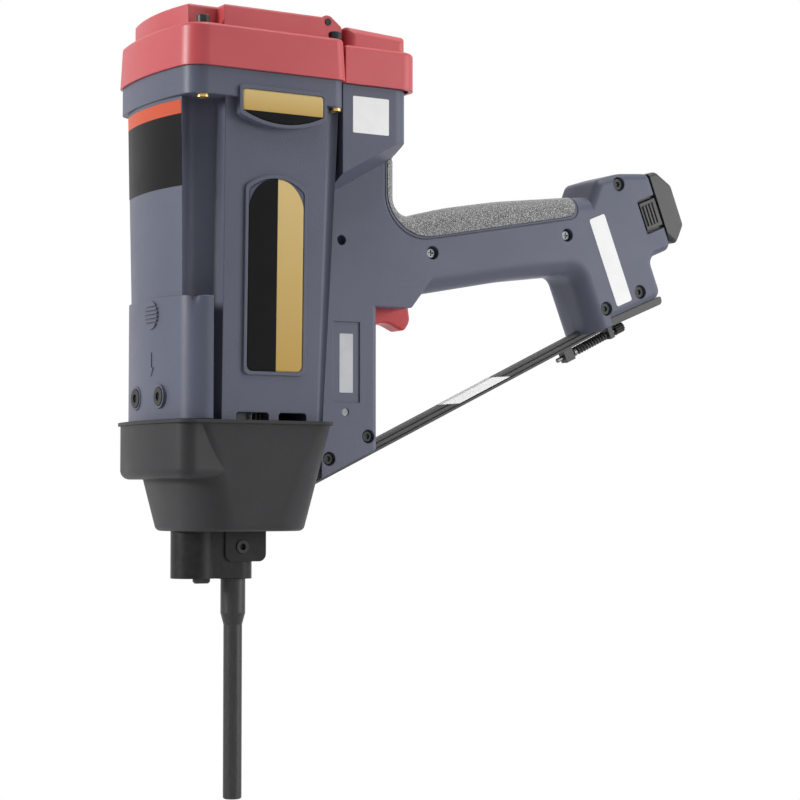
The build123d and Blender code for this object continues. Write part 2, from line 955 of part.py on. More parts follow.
def shroud_bulge(inset, low, high):
    """Upright box on the front of the shroud, narrowing back into the cone."""
    outline = plan_outline(shroud_front - inset, shroud_half - inset, -bulge_depth,
                           bulge_bow, bulge_corner, 0, bulge_tail - inset)
    return extrude(Pos(0, 0, low) * outline, high - low)


def nose_outline(grow):
    """Plan of the nose block: front lobe, web, boss and lug."""
    face = Pos(-lobe_offset, 0) * Circle(lobe_radius + grow)
    face += Circle(boss_radius + grow)
    face += Pos(-lobe_offset / 2, 0) * Rectangle(lobe_offset, 2 * web_half + 2 * grow)
    lug = Rectangle(lug_front + lug_rear + 2 * grow, 2 * lug_half + 2 * grow)
    return face + Pos((lug_rear - lug_front) / 2, 0) * lug


def nose_shroud():
    """Cup shaped shroud round the lower end of the housing."""
    cone = shroud_loft(0, shroud_bottom)
    cone = fillet(cone.faces().sort_by(Axis.Z)[0].edges(), sole_edge)
    bulge = shroud_bulge(0, shelf_z, rim_z)
    bulge = fillet(bulge.faces().sort_by(Axis.Z)[0].edges().group_by(Axis.X)[0], bulge_round)
    body = cone + bulge
    lip_low = rim_z - shroud_lip_height
    lip = plan_outline(shroud_front + shroud_lip, shroud_half + shroud_lip, shroud_rear + shroud_lip,
                       bulge_bow, bulge_corner + shroud_lip, rim_rear_corner + shroud_lip)
    body += extrude(Pos(0, 0, lip_low) * lip, shroud_lip_height)
    room = shroud_loft(shroud_wall, shroud_bottom + shroud_wall)
    room += shroud_bulge(shroud_wall, shelf_z + shroud_wall, rim_z + 1)
    body -= room
    body -= extrude(Pos(0, 0, shroud_bottom - 1) * nose_outline(seat_gap), shroud_wall + 2)
    return body


def nose_block():
    """Cast nose: lobe, boss and clamp lug outside, base plate and posts inside the shroud."""
    plate_low = shroud_bottom + shroud_wall
    body = post(-lobe_offset, 0, block_bottom + lobe_step, plate_low + 1, lobe_radius)
    body += post(0, 0, block_bottom, plate_low + 1, boss_radius)
    body += block(-lobe_offset, 0, -web_half, web_half, block_bottom + lobe_step, plate_low + 1)
    lug = block(-lug_front, lug_rear, -lug_half, lug_half, shroud_bottom - lug_drop, plate_low + 1)
    lug = fillet(lug.edges().filter_by(Axis.Y).group_by(Axis.Z)[0], lug_round)
    body += lug
    body += post(0, 0, plate_low, base_top, base_radius)
    for side in SIDES:
        body += post(side * post_spread, 0, base_top - 1, plate_bottom, post_radius)
    body -= post(0, 0, block_bottom - 1, base_top + 1, collar_radius + running_gap)
    screw_z = shroud_bottom - set_screw_height
    body -= cross_pin(0, screw_z, -lug_half - 1, -lug_half + set_screw_length, set_screw_radius + running_gap)
    slot_near = clip_seat - web_half
    slot_far = slot_near + clip_thick + 2 * seat_gap
    top = block_bottom + clip_rise
    return body - block(-clip_front, -clip_rear, slot_near, slot_far, block_bottom - 1, top)


def nose_set_screw():
    """Socket set screw in the clamp lug."""
    screw_z = shroud_bottom - set_screw_height
    screw = cross_pin(0, screw_z, -lug_half - set_screw_show, -lug_half + set_screw_length, set_screw_radius)
    key = Plane(origin=(0, -lug_half - 1, screw_z), x_dir=(1, 0, 0), z_dir=(0, 1, 0))
    return screw - extrude(key * RegularPolygon(socket_radius, 6), set_screw_key)


def nose_clip():
    """Spring steel clip let into the underside of the nose block."""
    near = clip_seat - web_half + seat_gap
    low = block_bottom - clip_drop
    top = block_bottom + clip_rise
    clip = block(seat_gap - clip_front, -clip_rear - seat_gap, near, near + clip_thick, low, top)
    return chamfer(clip.edges().filter_by(Axis.Y).group_by(Axis.Z)[0], clip_drop / 2)


def muzzle_tube():
    """Long slim guide tube with a stepped bore."""
    profile = Polyline(
        (bore_radius, tube_tip), (tube_radius - muzzle_chamfer, tube_tip),
        (tube_radius, tube_tip + muzzle_chamfer), (tube_radius, taper_low),
        (collar_radius, taper_low + taper_length), (collar_radius, tube_top),
        (relief_radius, tube_top), (relief_radius, tube_tip + bore_length),
        (bore_radius, tube_tip + bore_length), (bore_radius, tube_tip),
    )
    return revolve(Plane.XZ * make_face(profile), Axis.Z)


def probe_yoke():
    """Cross arm on the tube that carries the link rods."""
    yoke = post(0, 0, yoke_bottom, tube_top, yoke_hub)
    reach = rod_spread + yoke_arm
    yoke += block(-yoke_arm, yoke_arm, -reach, reach, yoke_bottom, tube_top)
    yoke = fillet(yoke.edges().filter_by(Axis.Z).group_by(SortBy.DISTANCE)[-1], yoke_round)
    return yoke - post(0, 0, yoke_bottom - 1, tube_top + 1, collar_radius + running_gap)


def link_rods():
    """Two rods from the yoke up to the chamber sleeve."""
    return group([post(0, side * rod_spread, tube_top, sleeve_bottom, rod_radius) for side in SIDES])


def chamber_sleeve():
    """Sliding combustion chamber sleeve with a floor ring."""
    sleeve = ring(sleeve_bottom, sleeve_top, chamber_bore + chamber_wall, chamber_bore)
    floor_hole = rod_spread - rod_radius - sleeve_ledge
    return sleeve + ring(sleeve_bottom, sleeve_bottom + sleeve_floor, chamber_bore + 1, floor_hole)


def seal_ring(z):
    """O-ring that runs just clear of the sleeve's bore."""
    return Pos(0, 0, z) * Torus(chamber_bore - piston_gap - seal_section, seal_section)


def cylinder():
    """Cylinder with a base plate and a sealing flange."""
    wall = cylinder_bore + cylinder_wall
    body = post(0, 0, plate_bottom, cylinder_top, wall)
    body += post(0, 0, plate_bottom, housing_bottom, cylinder_plate)
    flange_low = cylinder_top - cylinder_flange
    body += post(0, 0, flange_low, cylinder_top, chamber_bore - boss_gap)
    body -= seal_ring(flange_low + cylinder_flange / 2)
    body -= post(0, 0, housing_bottom, cylinder_top + 1, cylinder_bore)
    body -= post(0, 0, plate_bottom - 1, housing_bottom + 1, driver_radius + joint_gap)
    for side in SIDES:
        body -= post(0, side * rod_spread, plate_bottom - 1, housing_bottom + 1, rod_radius + joint_gap)
    return body


def piston():
    """Piston with a groove for its ring."""
    body = post(0, 0, piston_bottom, piston_bottom + piston_height, cylinder_bore - piston_gap)
    middle = piston_bottom + piston_height / 2
    slot = ring_height / 2 + piston_gap
    body -= ring(middle - slot, middle + slot, cylinder_bore + 1, cylinder_bore - ring_depth - piston_gap)
    return body - post(0, 0, middle + ring_height, far + middle, cylinder_bore - piston_dish)


def piston_ring():
    """Steel ring in the piston's groove."""
    middle = piston_bottom + piston_height / 2
    low = middle - ring_height / 2
    return ring(low, low + ring_height, cylinder_bore - ring_gap, cylinder_bore - ring_depth)


def driver_rod():
    """Driver that strikes the nail, hung from the piston."""
    rod = post(0, 0, stroke, piston_bottom, driver_radius)
    return chamfer(rod.edges().sort_by(Axis.Z)[0], 0.5)


def bumper():
    """Rubber stop at the bottom of the cylinder."""
    low = housing_bottom
    body = ring(low, low + bumper_height, cylinder_bore - joint_gap, driver_radius + bumper_clear)
    return chamfer(body.faces().sort_by(Axis.Z)[-1].edges().sort_by(SortBy.LENGTH)[-1], bumper_chamfer)


def cylinder_head():
    """Head plate on the housing's spigot, with a boss that closes the chamber."""
    low = spigot_top - head_boss
    head = post(0, 0, spigot_top, spigot_top + head_plate, head_radius)
    head += post(0, 0, low, spigot_top, chamber_bore - boss_gap)
    head -= seal_ring(low + head_seal_lift)
    head -= post(0, 0, low + motor_seat, spigot_top + head_plate + 1, motor_radius + running_gap)
    head -= post(0, 0, low - 1, low + motor_seat + 1, shaft_radius + joint_gap)
    return head - post(0, plug_offset, low - 1, spigot_top + head_plate + 1, plug_radius + running_gap)


def fan_motor():
    """Fan motor in the head, with its shaft down into the chamber."""
    low = spigot_top - head_boss + motor_seat
    motor = post(0, 0, low, low + motor_height, motor_radius)
    motor = fillet(motor.edges().sort_by(Axis.Z)[-1], motor_round)
    return motor + post(0, 0, low - motor_seat - fan_gap - fan_height, low, shaft_radius)


def fan():
    """Six bladed fan on the motor shaft."""
    top = spigot_top - head_boss - fan_gap
    body = post(0, 0, top - fan_height, top, fan_hub)
    reach = fan_radius - fan_hub + 1.0
    blade = Pos(fan_hub + reach / 2 - 1.0, 0, top - fan_height / 2) * Rot(blade_pitch, 0, 0)
    blade *= Box(reach, blade_chord, blade_thick)
    for index in range(fan_blades):
        body += Rot(0, 0, index * 360 / fan_blades) * blade
    return body - post(0, 0, top - fan_height - 1, top + 1, shaft_radius + running_gap)


def spark_plug():
    """Spark plug through the head."""
    low = spigot_top - head_boss
    seat = spigot_top + head_plate
    plug = post(0, plug_offset, low - plug_reach, seat + plug_top, plug_radius)
    tip = post(0, plug_offset, low - 2 * plug_reach, low - plug_reach, plug_radius / 2)
    cap = post(0, plug_offset, seat, seat + plug_top / 2, plug_radius + plug_flange)
    return plug + tip + cap


def biarc_points(start, start_dir, end, end_dir):
    """Joint point and direction of the equal-length biarc between two posts."""
    gap = end - start
    turn = start_dir + end_dir
    a = 2 * (1 - start_dir.dot(end_dir))
    b = 2 * gap.dot(turn)
    c = -gap.dot(gap)
    reach = (-b + (b * b - 4 * a * c) ** 0.5) / (2 * a)
    joint = (start + start_dir * reach + end - end_dir * reach) * 0.5
    direction = (end - end_dir * reach) - (start + start_dir * reach)
    return joint, direction.normalized()


def coil(radius, wire, length, turns):
    """One unbroken helical tube along +Z, swept on biarcs of a quarter turn, with straight ends."""
    end_room = coil_end * wire
    rise = (length - 2 * end_room) / (2 * pi * turns)
    posts = []
    for step in range(4 * turns + 1):
        angle = step * pi / 2
        place = Vector(radius * cos(angle), radius * sin(angle), end_room + rise * angle)
        heading = Vector(-radius * sin(angle), radius * cos(angle), rise).normalized()
        posts.append((place, heading))
    first, first_dir = posts[0]
    last, last_dir = posts[-1]
    start = first - first_dir * 2 * wire
    edges = [Line(start, first)]
    for (here, here_dir), (there, there_dir) in zip(posts, posts[1:]):
        joint, direction = biarc_points(here, here_dir, there, there_dir)
        edges.append(TangentArc(here, joint, tangent=here_dir))
        edges.append(TangentArc(joint, there, tangent=direction))
    edges.append(Line(last, last + last_dir * 2 * wire))
    section = Plane(origin=start, z_dir=first_dir) * RegularPolygon(wire, wire_sides)
    return sweep(section, path=Wire(edges)), least_gap(edges, wire)


def least_gap(edges, wire):
    """Least gap between turns of a coil, measured between points of its centre line."""
    points = [edge.position_at(share) for edge in edges for share in (0.0, 0.25, 0.5, 0.75)]
    turn = 16
    pairs = ((a, b) for i, a in enumerate(points) for b in points[i + turn:])
    return min((a - b).length for a, b in pairs) - 2 * wire


def return_spring():
    """Spring that pushes the yoke and tube back down."""
    room = plate_bottom - tube_top - 2 * seat_gap
    shape, least = coil(spring_radius, spring_wire, room, spring_turns)
    print(f"return spring: least gap between turns {least:.2f} mm")
    return Pos(0, 0, tube_top + seat_gap) * shape


def frame_body():
    """Lower frame of the two grip shells, behind the housing."""
    jog = rim_z + frame_jog
    points = (
        (housing_rear_at(column_top) + column_gap, column_top),
        (housing_rear_at(jog) + seat_gap, jog),
        (frame_foot, jog),
        (frame_foot, frame_bottom),
        (frame_rear, frame_bottom + (frame_rear - frame_foot) * tan(radians(rail_tilt))),
        (frame_rear, root_top),
        (can_x, column_top),
    )
    frame = plate_xz(points, 0, grip_half)
    rear = frame.edges().filter_by(Axis.Z).group_by(Axis.X)[-1]
    return fillet(rear, frame_round)


def bay_body(inset):
    """Wide upper bay that carries the fuel door, cut to a slanted crease below."""
    front = housing_rear_at(column_top) + column_gap + inset
    outline = plan_rear_box(front, column_rear - inset, column_half - inset, column_corner - inset)
    low = crease_z - 2 * crease_drop
    bay = extrude(Pos(0, 0, low) * outline, column_top - low)
    slant = radians(crease_angle)
    along = Vector(cos(slant), 0, sin(slant))
    for side in SIDES:
        corner = Vector(crease_x, side * (column_half - inset), crease_z + inset)
        across = Vector(0, -side * (column_half - grip_half), -crease_drop).normalized()
        normal = along.cross(across)
        if normal.Z > 0:
            normal = normal * -1
        plane = Plane(origin=corner, x_dir=along, z_dir=normal)
        bay -= plane * Pos(0, 0, far / 2) * Box(2 * far, 2 * far, far)
    return bay


def bar_outline():
    """Side outline of the handle bar, from the column root to the foot's front face."""
    points = (
        (can_x, root_top), (root_rear, root_top), (root_rear, handle_top_start),
        handle_top_a, handle_top_b, handle_top_end,
        foot_point(foot_step, foot_heel), foot_point(foot_step, foot_toe), foot_point(foot_front, foot_toe),
        finger_corner(), handle_under_b, handle_under_a,
        lip_top, lip_tip, (can_x, lip_tip[1]),
    )
    radii = (0, 0, root_radius, handle_sweep, handle_sweep, 0, 0, 0, 0,
             finger_radius, handle_sweep, handle_sweep, 0, 2.0, 0)
    return make_face(FilletPolyline(*points, radius=radii, close=True))


def finger_corner():
    """Corner where the handle's underside line meets the foot's front face."""
    top_x, top_z = foot_point(foot_front, 0)
    lean = tan(radians(foot_tilt))
    return (top_x - (handle_under_end - top_z) * lean, handle_under_end)


def bar_body(inset):
    """Handle bar with its long edges rounded, shrunk all round by an inset."""
    outline = bar_outline()
    if inset != 0:
        outline = offset(outline, -inset, kind=Kind.INTERSECTION)
    half = grip_half - inset
    bar = extrude(Plane.XZ * outline, half, both=True)
    top = (Vector(*handle_top_a) + Vector(*handle_top_b)) / 2
    low = (Vector(*handle_under_a) + Vector(*handle_under_b)) / 2
    chosen = []
    for middle in (Vector(top.X, 0, top.Y - inset), Vector(low.X, 0, low.Y + inset)):
        for side in SIDES:
            target = middle + Vector(0, side * half, 0)
            chosen.append(min(bar.edges(), key=lambda edge: edge.distance_to(target)))
    return fillet(chosen, handle_round - inset)


def foot_body():
    """Foot block with the battery jaws and the hump above them."""
    points = (
        (foot_front + foot_overlap, foot_heel), (foot_back, foot_heel), (foot_back, jaw_low),
        (jaw_end, jaw_low), (jaw_end, jaw_top), (hump_back, hump_peak - hump_fall),
        (hump_front + hump_run, hump_peak),
        (hump_front - 2 * foot_overlap, hump_foot - 2 * foot_overlap),
    )
    radii = (0, foot_corner, jaw_corner, jaw_corner, jaw_corner, hump_sweep, foot_corner, 0)
    outline = make_face(FilletPolyline(*points, radius=radii, close=True))
    foot = extrude(foot_plane() * outline, grip_half, both=True)
    over = foot_point(jaw_end / 2, (jaw_top + hump_peak) / 2)
    behind = foot_point(foot_back, (foot_heel + jaw_low) / 2)
    chosen = []
    for x, z in (over, behind):
        for side in SIDES:
            target = Vector(x, side * grip_half, z)
            chosen.append(min(foot.edges(), key=lambda edge: edge.distance_to(target)))
    return fillet(chosen, foot_round)


def pad_region(grow):
    """Block over the top of the handle that bounds the grip pad from below."""
    points = (
        (pad_front - grow, pad_front_top + grow), (pad_front - grow, pad_low - grow),
        (pad_end[0] + grow, pad_end[1] - grow), (pad_end[0] + grow, pad_end[1] + pad_rise),
        (pad_front + pad_step, pad_end[1] + pad_rise), (pad_front + pad_step, pad_front_top + grow),
    )
    return plate_xz(points, (0, pad_corner, pad_end_round, 0, 0, 0), grip_half + 5)


def grip_pad():
    """Rubber pad let into the top of the handle and its root."""
    outer = bar_body(-pad_proud)
    inner = bar_body(pad_thick)
    return (outer & pad_region(0)) - inner


def rail_envelope(clear):
    """Space that the rail takes in the shells and the bracket."""
    section = Rectangle(2 * rail_half + 2 * clear, rail_height + 2 * clear)
    return along_rail(section, rail_start - 20, rail_end - rail_start + 20 + clear)


def grip_shells():
    """Both grip shells as one body with all pockets, before it is split."""
    body = frame_body() + bay_body(0) + bar_body(0) + foot_body()
    body -= pad_region(seat_gap) - bar_body(pad_thick + seat_gap)
    bead = pad_region(bead_offset + bead_width) - pad_region(bead_offset)
    body -= bead - bar_body(bead_depth)
    bay_room = bay_body(column_wall) & block(0, far, -far, far, bay_floor, column_top + 1)
    body -= bay_room
    body -= post(can_x, 0, can_base - can_pad, column_top + 1, can_radius + can_gap)
    room_end = foot_point(foot_front, 0)[0] - handle_wall
    room = block(pocket_rear + handle_wall, room_end, -far, far, 0, 3 * far)
    body -= bar_body(handle_wall) & room
    reach = trigger_half + joint_gap + seat_gap
    body -= block(trigger_front - trigger_room, pocket_rear, -reach, reach, trigger_toe - 5, pocket_top)
    reach = switch_half + seat_gap
    body -= block(switch_front - seat_gap, switch_front + switch_length + seat_gap, -reach, reach,
                  pocket_top - 1, pocket_top + switch_height + seat_gap)
    body -= cross_pin(trigger_pin_x, trigger_pin_z, -trigger_pin_half, trigger_pin_half,
                      trigger_pin_radius + running_gap)
    socket_front = jaw_end - socket_depth
    body -= foot_block(socket_front, far, socket_low, socket_high, -socket_half, socket_half)
    notch_low = button_low - button_notch
    notch_high = button_low + button_height + button_notch
    body -= foot_block(button_front - button_notch, far, notch_low, notch_high, -far, far)
    body -= foot_block(board_end - board_length - 1, foot_back - board_end + 1, foot_heel + foot_corner,
                       jaw_low - board_ceiling, -board_half - 1, board_half + 1)
    body -= rail_envelope(joint_gap)
    body -= block(panel_left, panel_left + panel_width, -grip_half - 1, -grip_half + panel_depth,
                  panel_base, panel_base + panel_height)
    for x, z in handle_screw_spots:
        body -= cross_pin(x, z, -far, -grip_half + handle_recess_depth, recess_radius)
        body -= cross_pin(x, z, -grip_half, side_screw_end + joint_gap, grip_screw_shank + running_gap)
    for x, z in frame_screw_spots:
        body -= cross_pin(x, z, -far, -grip_half + recess_depth, recess_radius)
        body -= cross_pin(x, z, -grip_half, side_screw_end + joint_gap, grip_screw_shank + running_gap)
    for u, v in foot_screw_spots:
        x, z = foot_point(u, v)
        body -= cross_pin(x, z, -far, -grip_half + recess_depth, foot_recess_radius)
        body -= cross_pin(x, z, -grip_half, side_screw_end + joint_gap, grip_screw_shank + running_gap)
    body -= cross_pin(sight_hole[0], sight_hole[1], -far, -grip_half + sight_depth, sight_radius)
    body -= cross_pin(dowel_spot[0], dowel_spot[1], -far, dowel_end, dowel_radius + running_gap)
    return body


def half_shell(body, side):
    """One side of the split shells."""
    y0, y1 = sorted((0, side * far))
    return body & block(0, 2 * far, y0, y1, 0, 3 * far)


def side_screw(x, z, head, depth, cross):
    """Screw across the shells, with its head at the bottom of the near recess."""
    face = -grip_half + depth
    top = face - side_head_height
    screw = cross_pin(x, z, top, face, head) + cross_pin(x, z, face, side_screw_end, grip_screw_shank)
    key = Plane(origin=(x, top, z), x_dir=(1, 0, 0), z_dir=(0, 1, 0))
    if cross:
        drive = Rectangle(cross_length, cross_width) + Rectangle(cross_width, cross_length)
    else:
        drive = RegularPolygon(side_key_radius, 6)
    return screw - extrude(key * drive, side_key_depth)


def handle_screws():
    """Two cross head screws along the handle."""
    sizes = (handle_screw_radius, handle_recess_depth)
    return group([side_screw(x, z, *sizes, True) for x, z in handle_screw_spots])


def frame_screws():
    """Two socket screws in the lower frame."""
    return group([side_screw(x, z, grip_screw_radius, recess_depth, False) for x, z in frame_screw_spots])


def foot_screws():
    """Three socket screws in the foot."""
    spots = [foot_point(u, v) for u, v in foot_screw_spots]
    return group([side_screw(x, z, foot_screw_radius, recess_depth, False) for x, z in spots])


def dowel_pin():
    """Steel dowel across the lower frame."""
    return cross_pin(dowel_spot[0], dowel_spot[1], dowel_sink - grip_half, dowel_end - seat_gap, dowel_radius)


def trigger():
    """Trigger with a hollowed finger face and a toe."""
    middle = (trigger_front + trigger_rear) / 2
    points = (
        (trigger_front, trigger_top), (trigger_front, trigger_low),
        (middle - trigger_lean, trigger_low + trigger_dip),
        (trigger_rear - toe_round - 1.0, trigger_toe - 0.6), (trigger_rear, trigger_toe + 7.0),
        (trigger_rear - toe_round, trigger_top),
    )
    radii = (0, trigger_round, trigger_hollow, toe_round, 2 * toe_round, 0)
    body = plate_xz(points, radii, trigger_half)
    chosen = []
    for side in SIDES:
        target = Vector(middle, side * trigger_half, trigger_low)
        chosen.append(min(body.edges(), key=lambda edge: edge.distance_to(target)))
    body = fillet(chosen, trigger_round - 0.2)
    return body - cross_pin(trigger_pin_x, trigger_pin_z, -far, far, trigger_pin_radius + trigger_pin_gap)


def trigger_pin():
    """Pivot pin of the trigger."""
    return cross_pin(trigger_pin_x, trigger_pin_z, -trigger_pin_half + 0.1, trigger_pin_half - 0.1,
                     trigger_pin_radius)


def trigger_switch():
    """Switch above the trigger, with its plunger."""
    switch_end = switch_front + switch_length
    body = block(switch_front, switch_end, -switch_half, switch_half, pocket_top, pocket_top + switch_height)
    return body + post(switch_end - 2 * plunger_radius, 0, pocket_top - 2.0, pocket_top, plunger_radius)


def battery_case():
    """Battery with a slim body in the socket and a rounded end cap."""
    gap = joint_gap
    front = jaw_end - socket_depth + gap
    body = foot_block(front, jaw_end + 2, socket_low + gap, socket_high - gap, -socket_half + gap,
                      socket_half - gap)
    cap_low = jaw_low + 1.0
    cap_high = jaw_top - 0.5
    start = jaw_end + battery_gap
    points = (
        (start, cap_low + end_rise), (start + end_step, cap_low),
        (battery_end - end_rise, cap_low + end_step),
        (battery_end, cap_low + end_rise + end_step), (battery_end, cap_high - end_fall),
        (battery_end - end_run, cap_high), (start, cap_high),
    )
    outline = make_face(FilletPolyline(*points, radius=(0, 3, 5, 4, 6, 6, 0), close=True))
    cap = extrude(foot_plane() * outline, battery_cap_half, both=True)
    x, z = foot_point(battery_end, (jaw_low + jaw_top) / 2)
    chosen = []
    for side in SIDES:
        target = Vector(x, side * battery_cap_half, z)
        chosen.append(min(cap.edges(), key=lambda edge: edge.distance_to(target)))
    body += fillet(chosen, end_edge)
    for side in SIDES:
        body -= button_room(side)
    return body


def button_span(side, inner, outer):
    """Y range of a button, measured outwards on one side."""
    return sorted((side * inner, side * outer))


def button_room(side):
    """Pocket of a release button in the battery."""
    gap = joint_gap
    y0, y1 = button_span(side, socket_half - button_depth - button_press - gap, far)
    return foot_block(button_front - gap, button_front + button_length + gap, button_low - gap,
                      button_low + button_height + gap, y0, y1)


def battery_button(side):
    """Ribbed release button on one side of the battery."""
    face = socket_half + button_proud
    y0, y1 = button_span(side, socket_half - button_depth, face - button_rib_proud)
    body = foot_block(button_front, button_front + button_length,
                      button_low, button_low + button_height, y0, y1)
    pitch = button_length / (button_ribs + 1)
    r0, r1 = button_span(side, face - 2 * button_rib_proud, face)
    v0 = button_low + button_notch
    v1 = button_low + button_height - button_notch
    for index in range(button_ribs):
        u = button_front + pitch * (index + 1)
        body += foot_block(u - button_rib_half, u + button_rib_half, v0, v1, r0, r1)
    return body


def socket_contacts():
    """Three spring blades at the front end of the battery socket."""
    front = jaw_end - socket_depth
    blades = []
    for index in (-1, 0, 1):
        middle = (socket_low + socket_high) / 2 + index * contact_pitch
        v0 = middle - contact_half
        v1 = middle + contact_half
        blades.append(foot_block(front, front + contact_thick, v0, v1, -contact_width / 2, contact_width / 2))
    return group(blades)


def ignition_board():
    """Control board in the foot, under the battery socket."""
    top = jaw_low - board_ceiling
    low = top - board_thick
    board = foot_block(board_end - board_length, foot_back - board_end, low, top, -board_half, board_half)
    for u in board_parts:
        board += foot_block(u, u + board_part, low - board_part, low, -board_part, board_part)
    return board


def magazine_rail():
    """Grooved aluminium rail between the nose end and the foot."""
    section = Rectangle(2 * rail_half, rail_height)
    for side in SIDES:
        for level in (-1, 1):
            spot = Pos(side * rail_half, level * rail_groove_level)
            section -= spot * Rectangle(2 * rail_groove_depth, rail_groove)
    section -= Pos(0, -rail_height / 2) * Rectangle(2 * rail_channel, 2 * rail_channel_depth)
    return along_rail(section, rail_start, rail_end - rail_start)


def latch_axis_drop():
    """Depth of the plunger's axis below the rail's middle."""
    return rail_height / 2 + latch_drop


def latch_stations():
    """Distances along the rail of the plunger's collar, spring, seat and knob."""
    collar = guide_start + guide_length + collar_gap
    spring = collar + collar_thick
    seat = spring + latch_spring_length
    knob = seat + latch_seat_thick + latch_gap
    return collar, spring, seat, knob


def foot_bracket():
    """Black bracket under the foot that clamps the rail and seats the latch spring."""
    low = foot_heel - bracket_thick
    front = foot_step + seat_gap
    points = ((front, low), (foot_back, low), (foot_back + 0.5, foot_heel), (front, foot_heel))
    outline = make_face(FilletPolyline(*points, radius=(1.0, 3.0, 1.0, 0), close=True))
    body = extrude(foot_plane() * outline, bracket_half, both=True)
    _, _, seat, _ = latch_stations()
    drop = latch_axis_drop()
    lug = Pos(0, seat_lug_height / 2 - seat_lug_drop) * Rectangle(2 * seat_lug_half, seat_lug_height)
    lug = along_rail(lug, seat, latch_seat_thick, drop)
    body += lug & foot_block(-far, far, -far, foot_heel, -far, far)
    body -= rail_envelope(seat_gap)
    hole = Circle(plunger_radius + plunger_gap)
    body -= along_rail(hole, seat - 1, latch_seat_thick + 2, drop)
    return body


def latch_guide():
    """Guide block of the plunger under the rail."""
    drop = latch_axis_drop()
    depth = latch_drop + guide_drop
    block_face = Pos(0, latch_drop - depth / 2) * Rectangle(2 * guide_half, depth)
    body = along_rail(block_face, guide_start, guide_length, drop)
    return body - along_rail(Circle(plunger_radius + plunger_gap), guide_start - 1, guide_length + 2, drop)


def latch_plunger():
    """Steel plunger rod with its collar."""
    collar, _, _, knob = latch_stations()
    drop = latch_axis_drop()
    rod = along_rail(Circle(plunger_radius), plunger_tip, knob - plunger_tip, drop)
    return rod + along_rail(Circle(latch_spring_radius + collar_lip), collar, collar_thick, drop)


def latch_spring():
    """Visible coil spring between the plunger's collar and the bracket's seat."""
    _, spring, _, _ = latch_stations()
    room = latch_spring_length - 2 * seat_gap
    shape, least = coil(latch_spring_radius, latch_wire, room, latch_turns)
    print(f"latch spring: least gap between turns {least:.2f} mm")
    return rail_plane(spring + seat_gap, latch_axis_drop()) * shape


def latch_knob():
    """Fluted knob on the rear end of the plunger."""
    _, _, _, knob = latch_stations()
    face = Circle(knob_radius)
    for index in range(knob_flutes):
        angle = index * 2 * pi / knob_flutes
        face -= Pos(knob_radius * cos(angle), knob_radius * sin(angle)) * Circle(flute_cut)
    return along_rail(face, knob, knob_length, latch_axis_drop())


def bracket_screws():
    """Two screws up through the bracket into the foot."""
    screws = []
    for u in bracket_screw_spots:
        middle = foot_heel - bracket_thick - bracket_head / 2
        place = foot_plane() * Pos(u, middle, 0) * Rot(90, 0, 0)
        screws.append(place * Cylinder(bracket_screw, bracket_head))
    return group(screws)


def fuel_cell():
    """Thin walled gas can with a shoulder, neck and bored stem."""
    shoulder = can_base + can_height
    crimp = shoulder + can_step
    bore = can_stem - can_wall
    inner = can_radius - can_wall
    profile = Polyline(
        (0, can_base), (can_radius - can_edge, can_base), (can_radius, can_base + can_edge),
        (can_radius, shoulder - can_neck), (can_radius - can_neck, shoulder), (can_neck, shoulder),
        (can_neck, crimp), (can_stem, crimp), (can_stem, crimp + can_step), (bore, crimp + can_step),
        (bore, shoulder - can_wall), (inner - can_neck, shoulder - can_wall),
        (inner, shoulder - can_neck - can_wall), (inner, can_base + can_wall), (0, can_base + can_wall),
        (0, can_base),
    )
    return Pos(can_x, 0, 0) * revolve(Plane.XZ * make_face(profile), Axis.Z)


def can_seat():
    """Foam pad under the gas can."""
    return post(can_x, 0, can_base - can_pad, can_base, can_radius - 1.0)


def metering_valve():
    """Dosing valve on the can's stem, with the fuel pipe to the head."""
    base = can_base + can_height + 2 * can_step
    front = can_x - valve_front
    body = block(front, can_x + valve_rear, -valve_half, valve_half, base, base + valve_height)
    body = fillet(body.edges().filter_by(Axis.Z), pipe_radius)
    start = head_radius + seat_gap
    middle = Pos((start + front) / 2, 0, spigot_top + head_plate / 2)
    return body + middle * Rot(0, 90, 0) * Cylinder(pipe_radius, front - start)


def ignition_coil():
    """Ignition coil on the floor of the fuel bay, beside the can."""
    y0 = can_radius + can_step
    front = can_x - valve_front
    return block(front, can_x + valve_rear, y0, y0 + coil_width, bay_floor, bay_floor + coil_height)


